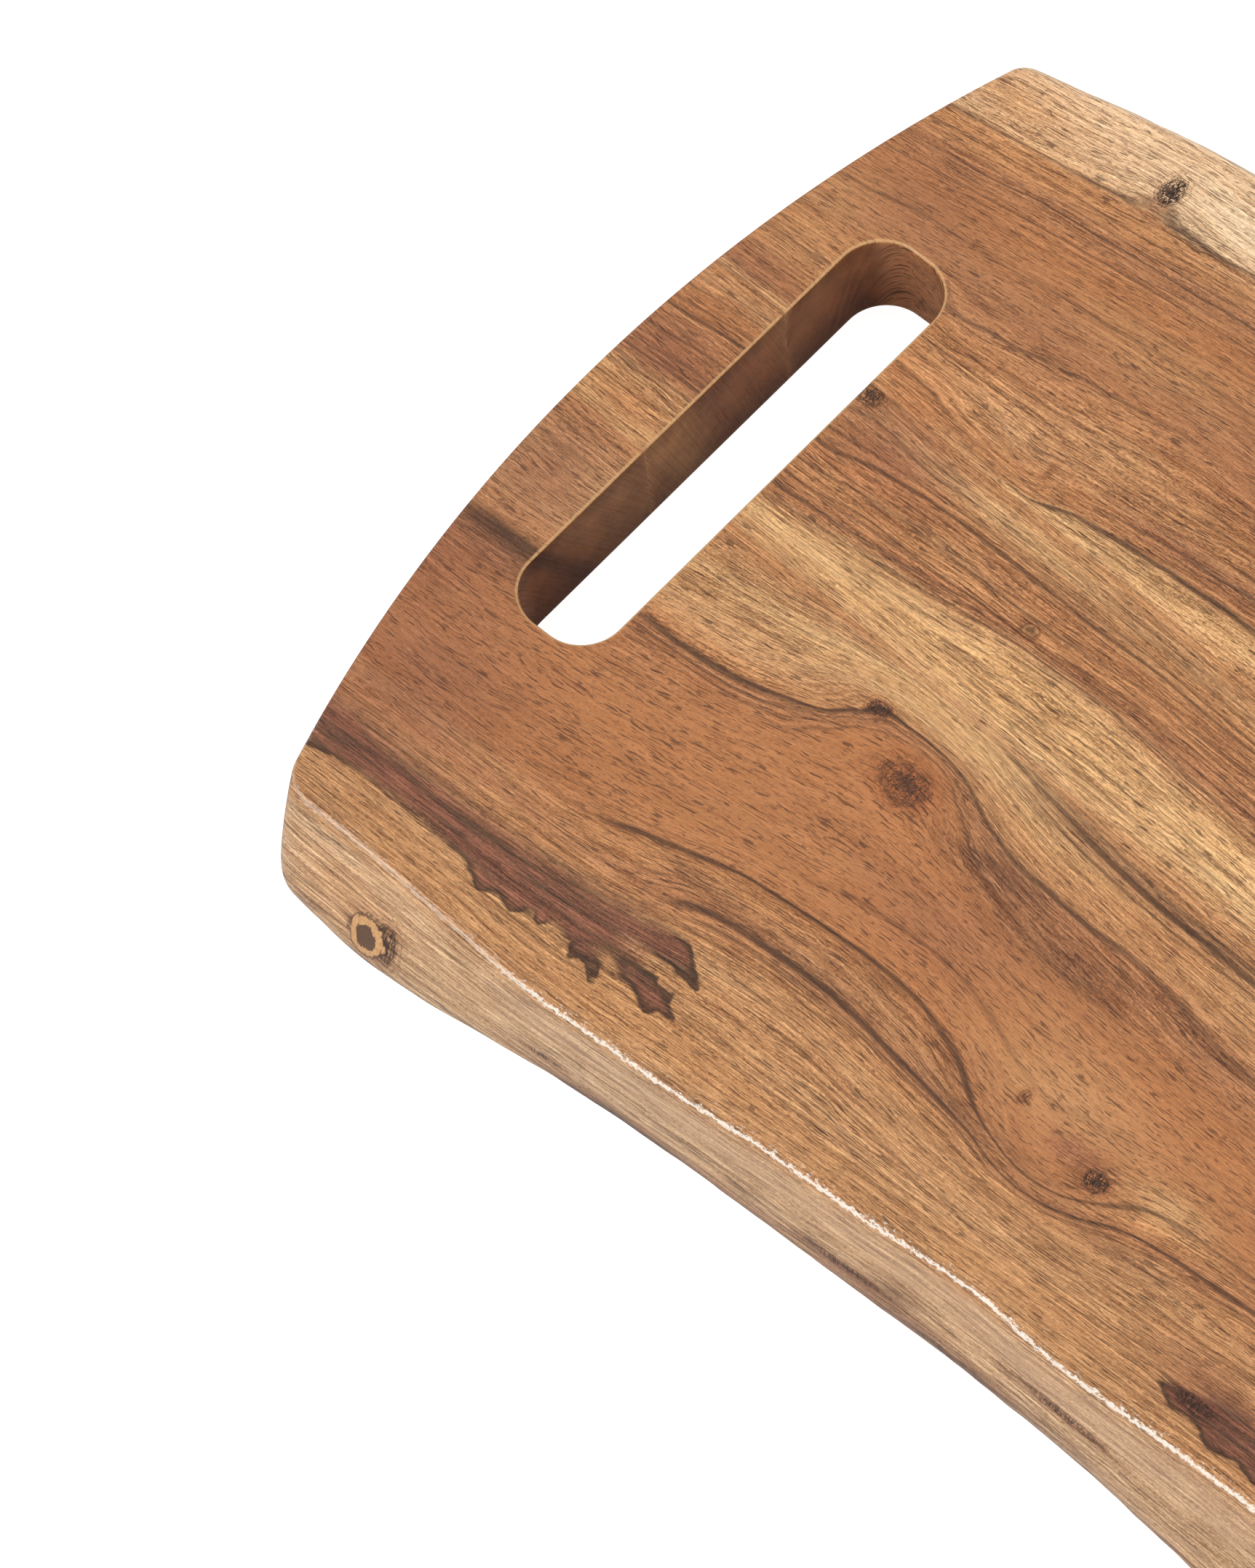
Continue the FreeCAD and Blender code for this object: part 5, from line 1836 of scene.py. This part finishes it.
class Workshop:
    """Builds materials from the shared node groups, once each."""

    SWEEP_GLOW = 1.2
    # Dark lines: how many share a color ramp, which holds at most 32 stops; the room left
    # beside the first and the last; how far their levels wander; how far each spreads to
    # either side, in widths; and the share of that which is fully dark.
    INKS_PER_RAMP = 7
    INK_MARGIN = 3.0
    INK_WANDER = 1.3
    INK_SPREAD = 1.55
    INK_CORE = 0.35

    def __init__(self) -> None:
        """Builds the shared groups."""
        self.grain = build_grain_group()
        self.end_grain = build_end_grain_group()
        self.knot_noise = build_knot_noise_group()
        self.knot = build_knot_group()
        self.wood = build_wood_group(self.grain, self.end_grain)

    def start(self, name: str) -> Tuple[Material, NodeSketch, Node]:
        """Makes an empty node material.

        Args:
            name: The material's name.

        Returns:
            The material, a sketch of its tree and its shader node.
        """
        material = bpy.data.materials.new(name)
        material.use_nodes = True
        sketch = NodeSketch(material.node_tree)
        return material, sketch, material.node_tree.nodes["Principled BSDF"]

    def timber(self, name: str, figure: Figure, lacquer: Lacquer) -> Material:
        """Makes one stave's wood.

        Args:
            name: The material's name.
            figure: The stave's figure, for its knots and dark lines.
            lacquer: Its clear coat.

        Returns:
            The material.
        """
        material, sketch, shader = self.start(name)
        read = {label: sketch.add("ShaderNodeAttribute", attribute_name=label).outputs
                for label in ("grain", "tone", "marks", "place", "edge_wear_and_painted_light", "ink_gain")}
        grain, place = read["grain"]["Vector"], read["place"]["Vector"]
        # Masks of the slots' rims, the live arrises and the live sides, for a painted highlight, a
        # painted glint and a painted sheen.
        rim, arris, side = sketch.split(read["edge_wear_and_painted_light"]["Vector"])
        ink = sketch.times(self.ink_mask(sketch, grain, figure), read["ink_gain"]["Fac"])
        wood = sketch.group(
            self.wood, Grain=grain, Tone=read["tone"]["Color"], Life=read["tone"]["Alpha"],
            Marks=read["marks"]["Vector"], Ink=ink, Place=place, Rim=rim, Arris=arris, Side=side,
        ).outputs
        colour, height = wood["Color"], wood["Height"]
        rough = sketch.group(self.knot_noise, Place=place).outputs
        for knot in figure.knots:
            node = sketch.group(
                self.knot, Color=colour, Place=place, Centre=(knot.x, knot.y, knot.z),
                Stretch=(1.0 / knot.size_x, 1.0 / knot.size_y, 1.0 / knot.size_z),
                Dark=knot.dark, Red=knot.red, Crack=knot.crack, Eye=knot.eye,
                Wobble=rough["Wobble"], Fine=rough["Fine"], Split=rough["Split"],
            )
            colour = node.outputs["Color"]
            height = sketch.math("ADD", height, node.outputs["Relief"])
        sketch.relief(height, lacquer.strength, lacquer.relief, shader)
        sketch.wire(shader, Base_Color=colour, Roughness=wood["Gloss"],
                    Specular_IOR_Level=lacquer.specular, Coat_Weight=lacquer.weight,
                    Coat_Roughness=lacquer.roughness)
        return material

    def ink_mask(self, sketch: NodeSketch, grain: Socket, figure: Figure) -> Socket:
        """Dark natural lines of a stave, by ring level.

        Args:
            sketch: The material's tree.
            grain: The grain's coordinates.
            figure: The stave's figure.

        Returns:
            The darkness of the lines.
        """
        along, across, _ = sketch.split(grain)
        inks = sorted(figure.inks, key=lambda line: line.level)
        low, high = inks[0].level - self.INK_MARGIN, inks[-1].level + self.INK_MARGIN
        # The lines wander a little, so that they aren't drawn with a ruler.
        drift = sketch.noise(sketch.join(sketch.times(along, 0.09), sketch.times(across, 0.3), 2.0),
                             3.0)
        level = sketch.math("MULTIPLY_ADD", sketch.centred(drift), self.INK_WANDER, across)
        share = sketch.span(level, low, high, smooth=False)
        mask = None
        for start in range(0, len(inks), self.INKS_PER_RAMP):
            stops = [(0.0, 0.0)]
            for ink in inks[start : start + self.INKS_PER_RAMP]:
                middle = (ink.level - low) / (high - low)
                half = ink.width * self.INK_SPREAD / (high - low)
                core = self.INK_CORE * half
                stops += [(middle - half, 0.0), (middle - core, ink.strength),
                          (middle + core, ink.strength), (middle + half, 0.0)]
            part = sketch.ramp(share, stops)
            mask = part if mask is None else sketch.math("MAXIMUM", mask, part)
        return mask

    def speckled(self, finish: SpeckledFinish) -> Material:
        """Makes the material of a finish.

        Args:
            finish: The finish.

        Returns:
            The material.
        """
        material, sketch, shader = self.start(finish.name)
        place = sketch.add("ShaderNodeTexCoord").outputs["Object"]
        scale = (finish.cloud_scale,) * 3
        cloud = sketch.noise(sketch.vector("MULTIPLY", place, scale), 4.0, 0.6)
        fine = sketch.noise(sketch.vector("MULTIPLY", place, finish.relief_scale), 2.0)
        colour = sketch.blend(sketch.span(cloud, *finish.tone_span), *finish.tones)
        rough = sketch.span(fine if finish.rough_relief else cloud, 0.3, 0.7, *finish.roughness)
        sketch.relief(fine, finish.strength, finish.depth, shader)
        sketch.wire(shader, Base_Color=colour, Roughness=rough, Metallic=finish.metallic)
        return material

    def sweep(self) -> Material:
        """Makes the studio floor's matt white, which glows a little like a lit sweep.

        Returns:
            The material.
        """
        material, sketch, shader = self.start("studio_white")
        place = sketch.add("ShaderNodeTexCoord").outputs["Object"]
        mottle = sketch.noise(sketch.vector("MULTIPLY", place, (3.0, 3.0, 3.0)), 3.0)
        colour = sketch.blend(sketch.span(mottle, 0.3, 0.7), (0.72, 0.72, 0.72, 1.0),
                              (0.75, 0.75, 0.75, 1.0))
        seen = sketch.add("ShaderNodeLightPath").outputs["Is Camera Ray"]
        glow = sketch.times(seen, self.SWEEP_GLOW)
        sketch.wire(shader, Base_Color=colour, Emission_Color=colour, Emission_Strength=glow,
                    Roughness=0.9, Specular_IOR_Level=0.1)
        return material


# ---------------------------------------------------------------- the pieces


def mesh_object(name: str, vertices: np.ndarray, faces: Sequence[Sequence[int]],
                material: Material) -> bpy.types.Object:
    """Makes a mesh object from vertices in mm.

    Args:
        name: The object's name.
        vertices: Its vertices.
        faces: Vertex numbers of each face.
        material: Its material.

    Returns:
        The object, in the scene.
    """
    mesh = bpy.data.meshes.new(name)
    mesh.from_pydata((vertices * MM).tolist(), [], [list(face) for face in faces])
    mesh.validate()
    mesh.materials.append(material)
    mesh.polygons.foreach_set("use_smooth", [True] * len(mesh.polygons))
    mesh.set_sharp_from_angle(angle=math.radians(SHARP_ANGLE))
    obj = bpy.data.objects.new(name, mesh)
    bpy.context.scene.collection.objects.link(obj)
    return obj


# The planed faces' waves in mm, and how far the bottom's are taken from the top's.
TOP_WAVE = 0.07
BOTTOM_WAVE = 0.04
WAVE_SHIFT = 300.0


@dataclass
class WoodPiece:
    """One piece of wood between the glue lines, slots and edges of the board."""

    node: str
    name: str
    slot: str
    figure: Figure
    loop: Callable[[Level], np.ndarray]
    grid: float = 2.0
    margin: float = 0.9

    def face_points(self, level: Level) -> np.ndarray:
        """Points inside one of the flat faces.

        Args:
            level: The face's level.

        Returns:
            Their (x, y).
        """
        border = self.loop(Level(level.z, level.inset + self.margin))
        low, high = border.min(0), border.max(0)
        rows = np.arange(low[1], high[1], self.grid * ROW_PITCH)
        x, y = np.meshgrid(np.arange(low[0], high[0], self.grid), rows)
        x = x + (np.arange(len(rows)) % 2)[:, None] * self.grid * 0.5
        lattice = np.stack([x.ravel(), y.ravel()], 1)
        lattice = lattice[inside_polygon(lattice, border)]
        for joint in Edge:
            gap = np.abs(lattice[:, 1] - OUTLINE.joint_y(joint, lattice[:, 0]))
            lattice = lattice[gap > self.margin]
        return lattice

    def build_mesh(self) -> Tuple[np.ndarray, List[Tuple[int, ...]]]:
        """Lays out the piece's closed surface.

        Returns:
            Vertices in mm and faces.
        """
        levels = levels_through_board()
        loops = [self.loop(level) for level in levels]
        count = len(loops[0])
        rings = [np.column_stack([loop, np.full(count, level.z)])
                 for loop, level in zip(loops, levels)]
        vertices = list(rings)
        faces: List[Tuple[int, ...]] = []
        ahead = np.roll(np.arange(count), -1)
        for row in range(len(levels) - 1):
            top, below = row * count, (row + 1) * count
            faces += [(top + i, below + i, below + int(j), top + int(j))
                      for i, j in zip(range(count), ahead)]
        total = count * len(levels)
        for row, flip in ((0, False), (len(levels) - 1, True)):
            inner = self.face_points(levels[row])
            triangles = self.fill(loops[row], inner)
            start = row * count
            index = np.concatenate([np.arange(start, start + count),
                                    np.arange(total, total + len(inner))])
            for triangle in triangles:
                face = tuple(int(index[i]) for i in triangle)
                faces.append(face[::-1] if flip else face)
            vertices.append(np.column_stack([inner, np.full(len(inner), levels[row].z)]))
            total += len(inner)
        return np.concatenate(vertices), faces

    @staticmethod
    def fill(loop: np.ndarray, inner: np.ndarray) -> List[Tuple[int, ...]]:
        """Fills a loop with triangles through its inner points.

        Args:
            loop: The loop's points.
            inner: The points inside it.

        Returns:
            Anticlockwise triangles, by point number.
        """
        points = [Vector(point) for point in np.concatenate([loop, inner])]
        border = list(range(len(loop)))
        edges = list(zip(border, border[1:] + border[:1]))
        _, _, faces, origin, _, _ = delaunay_2d_cdt(points, edges, [], 0, 1e-5, True)
        corners = np.array([[origin[i][0] for i in face] for face in faces])
        a, b, c = np.moveaxis(np.concatenate([loop, inner])[corners], 1, 0)
        area = (b[:, 0] - a[:, 0]) * (c[:, 1] - a[:, 1]) - (c[:, 0] - a[:, 0]) * (b[:, 1] - a[:, 1])
        corners[area < 0.0] = corners[area < 0.0][:, ::-1]
        kept = inside_polygon((a + b + c) / 3.0, loop) & (np.abs(area) > 1e-9)
        return [tuple(face) for face in corners[kept].tolist()]

    def shape(self, vertices: np.ndarray) -> np.ndarray:
        """Adds the planed faces' faint waves and the dished knots.

        Args:
            vertices: Points in mm.

        Returns:
            The same points, moved up or down.
        """
        x, y, z = vertices.T
        share = (z - BOARD_BOTTOM) / THICKNESS
        top = -TOP_WAVE * (SWELL(x, y) + 1.0) - self.figure.dips(x, y)
        bottom = BOTTOM_WAVE * (SWELL(x + WAVE_SHIFT, y) + 1.0)
        moved = vertices.copy()
        moved[:, 2] = z + top * share ** 2 + bottom * (1.0 - share) ** 2
        return moved

    def build(self, workshop: Workshop, material: Material) -> bpy.types.Object:
        """Makes the piece, hides its CAD node and seats it on the board's body.

        Args:
            workshop: Not used.
            material: The stave's wood.

        Returns:
            The object.
        """
        flat, faces = self.build_mesh()
        vertices = self.shape(flat)
        obj = mesh_object(self.name, vertices, faces, material)
        mesh = obj.data
        if len(mesh.vertices) != len(vertices):
            raise ValueError(self.name + " lost vertices")
        walls = np.zeros(len(vertices))
        walls[: len(self.loop(Level(BOARD_TOP, EDGE_ROUND))) * len(levels_through_board())] = 1.0
        self.paint(mesh, vertices, walls)
        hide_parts(self.node)
        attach(obj, BODY)
        return obj

    def paint(self, mesh: bpy.types.Mesh, vertices: np.ndarray, walls: np.ndarray) -> None:
        """Stores the figure on the mesh as attributes.

        Args:
            mesh: The piece's mesh.
            vertices: Its vertices in mm.
            walls: 1 for each vertex on the rims and walls, 0 for one inside a flat face.
        """
        grain = self.figure.grain(vertices)
        level = grain[:, 1]
        depth, soft = self.figure.flame_depth(vertices)
        normals = np.empty(len(vertices) * 3, np.float32)
        mesh.vertices.foreach_get("normal", normals)
        normals = np.abs(normals.reshape(-1, 3))
        ends = smooth_step(0.55, 0.85, normals[:, 0])
        x, y, z = vertices.T
        outside = walls * smooth_step(LIVE_SIDE_FROM, LIVE_SIDE_TO, np.abs(y))
        side = outside * smooth_step(BOARD_TOP - 0.8, BOARD_TOP - 2.0, z)
        joint_gap = np.minimum(*(np.abs(y - OUTLINE.joint_y(edge, x)) for edge in Edge))
        rim = walls * (joint_gap > 0.02)
        # How strong the painted arris glint is along the board.
        bright = 0.25 + 0.75 * smooth_step(-180.0, -145.0, x)
        slot_rim = rim * (np.abs(y) < SLOT_REACH_Y) * (np.abs(x) < SLOT_REACH_X)
        values = {
            "grain": ("FLOAT_VECTOR", "vector", grain),
            "tone": ("FLOAT_COLOR", "color", self.figure.tones(vertices, level)),
            "marks": ("FLOAT_VECTOR", "vector", np.column_stack([depth, soft, ends])),
            "place": ("FLOAT_VECTOR", "vector", vertices),
            # Masks for painted light: a painted highlight on the slots' rims, a painted glint on the
            # live arrises and a painted sheen on the live sides, which also show fewer open pores.
            "edge_wear_and_painted_light": ("FLOAT_VECTOR", "vector",
                     np.column_stack([slot_rim, rim * outside * bright, side])),
            "ink_gain": ("FLOAT", "value", self.figure.ink_gain(vertices, level)),
        }
        for name, (kind, field_name, data) in values.items():
            layer = mesh.attributes.new(name, kind, "POINT")
            layer.data.foreach_set(field_name, np.ascontiguousarray(data, np.float32).ravel())


def wood_pieces() -> List[WoodPiece]:
    """The five pieces of wood.

    Returns:
        The pieces, in the order that the board is glued up.
    """
    return [
        WoodPiece("near_stave", "near_stave_wood", "near_stave_wood", NEAR_FIGURE,
                  lambda level: outer_stave_loop(Edge.NEAR, level)),
        WoodPiece("middle_stave", "middle_stave_wood", "middle_stave_wood", MIDDLE_FIGURE,
                  middle_stave_loop),
        WoodPiece("far_stave", "far_stave_wood", "far_stave_wood", FAR_FIGURE,
                  lambda level: outer_stave_loop(Edge.FAR, level)),
        WoodPiece("left_bar_block", "left_bar_block_wood", "middle_stave_wood", MIDDLE_FIGURE,
                  lambda level: bar_block_loop(End.LEFT, level)),
        WoodPiece("right_bar_block", "right_bar_block_wood", "middle_stave_wood", MIDDLE_FIGURE,
                  lambda level: bar_block_loop(End.RIGHT, level)),
    ]


@dataclass(frozen=True)
class Hardware:
    """The feet, washers and screws, which show as modelled."""

    rubber_nodes: Tuple[str, ...] = (
        "near_left_foot", "far_left_foot", "near_right_foot", "far_right_foot")
    steel_nodes: Tuple[str, ...] = ("foot_washers", "foot_screws")

    def dress(self, workshop: Workshop) -> None:
        """Gives the nodes their materials.

        Args:
            workshop: The shared node groups.
        """
        for names, finish in ((self.rubber_nodes, RUBBER), (self.steel_nodes, ZINC)):
            material = workshop.speckled(finish)
            for name in names:
                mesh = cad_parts[name].data
                mesh.materials.clear()
                mesh.materials.append(material)
                log.info("finished CAD node %s", name)


# ---------------------------------------------------------------- the studio


@dataclass(frozen=True)
class Studio:
    """Floor, lights and camera."""

    floor_half: float = 6000.0
    floor_tiles: int = 12
    sky: float = 0.72
    target: Tuple[float, float, float] = (-215.55, 2.0, 37.0)
    azimuth: float = 50.331
    elevation: float = 61.357
    roll: float = 8.817
    distance: float = 1676.844
    offset: Tuple[float, float] = (24.29, 79.43)
    lens: float = 166.98

    def camera(self) -> None:
        """Places the camera at the viewing angle."""
        a, e, roll = (math.radians(v) for v in (self.azimuth, self.elevation, self.roll))
        right = Vector((math.cos(a), math.sin(a), 0.0))
        back = Vector((math.sin(a) * math.cos(e), -math.cos(a) * math.cos(e), math.sin(e)))
        up = back.cross(right)
        axis_x = right * math.cos(roll) - up * math.sin(roll)
        axis_y = right * math.sin(roll) + up * math.cos(roll)
        place = (Vector(self.target) - axis_x * self.offset[0] - axis_y * self.offset[1]
                 + back * self.distance)
        data = bpy.data.cameras.new("camera")
        data.lens = self.lens
        data.sensor_width = 36.0
        data.clip_end = 50.0
        camera = bpy.data.objects.new("camera", data)
        bpy.context.scene.collection.objects.link(camera)
        turn = Matrix((axis_x, axis_y, back)).transposed().to_4x4()
        camera.matrix_world = Matrix.Translation(place * MM) @ turn
        bpy.context.scene.camera = camera

    def area(self, name: str, place: Tuple[float, float, float], size: Tuple[float, float],
             power: float) -> None:
        """Adds a soft box that faces the board.

        Args:
            name: The lamp's name.
            place: Where it hangs, in m.
            size: Its width and height in m.
            power: Its power in W.
        """
        data = bpy.data.lights.new(name, "AREA")
        data.shape = "RECTANGLE"
        data.size, data.size_y = size
        data.energy = power
        light = bpy.data.objects.new(name, data)
        bpy.context.scene.collection.objects.link(light)
        aim = Vector(place)
        turn = aim.to_track_quat("Z", "Y").to_matrix().to_4x4()
        light.matrix_world = Matrix.Translation(aim) @ turn

    def build(self, workshop: Workshop) -> None:
        """Sets up the whole studio.

        Args:
            workshop: For the floor's material.
        """
        row = self.floor_tiles + 1
        steps = np.linspace(-self.floor_half, self.floor_half, row)
        x, y = np.meshgrid(steps, steps)
        vertices = np.column_stack([x.ravel(), y.ravel(), np.full(x.size, -0.02)])
        faces = [(r * row + c, r * row + c + 1, (r + 1) * row + c + 1, (r + 1) * row + c)
                 for r in range(self.floor_tiles) for c in range(self.floor_tiles)]
        mesh_object("floor", vertices, faces, workshop.sweep())
        world = bpy.data.worlds.new("studio")
        world.use_nodes = True
        background = world.node_tree.nodes["Background"]
        background.inputs["Color"].default_value = (1.0, 1.0, 1.0, 1.0)
        sketch = NodeSketch(world.node_tree)
        seen = sketch.add("ShaderNodeLightPath").outputs["Is Camera Ray"]
        sketch.plug(sketch.span(seen, 0.0, 1.0, self.sky, 1.0), background.inputs["Strength"])
        bpy.context.scene.world = world
        self.area("key", (-0.9, -1.5, 1.7), (1.2, 0.9), 21.0)
        self.area("fill", (1.6, 0.9, 1.5), (1.4, 1.4), 9.0)
        self.camera()
        scene = bpy.context.scene
        scene.view_settings.view_transform = "Standard"
        scene.view_settings.look = "None"
        scene.view_settings.exposure = 0.0


def main() -> None:
    """Builds every piece in order, then the studio."""
    logging.basicConfig(level=logging.INFO, format="%(message)s")
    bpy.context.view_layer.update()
    workshop = Workshop()
    lacquer = Lacquer()
    materials = {
        "near_stave_wood": workshop.timber("near_stave_wood", NEAR_FIGURE, lacquer),
        "middle_stave_wood": workshop.timber("middle_stave_wood", MIDDLE_FIGURE, lacquer),
        "far_stave_wood": workshop.timber("far_stave_wood", FAR_FIGURE, lacquer),
    }
    for piece in wood_pieces():
        obj = piece.build(workshop, materials[piece.slot])
        log.info("built %s with %d vertices", obj.name, len(obj.data.vertices))
    Hardware().dress(workshop)
    Studio().build(workshop)


if __name__ == "__main__":
    main()
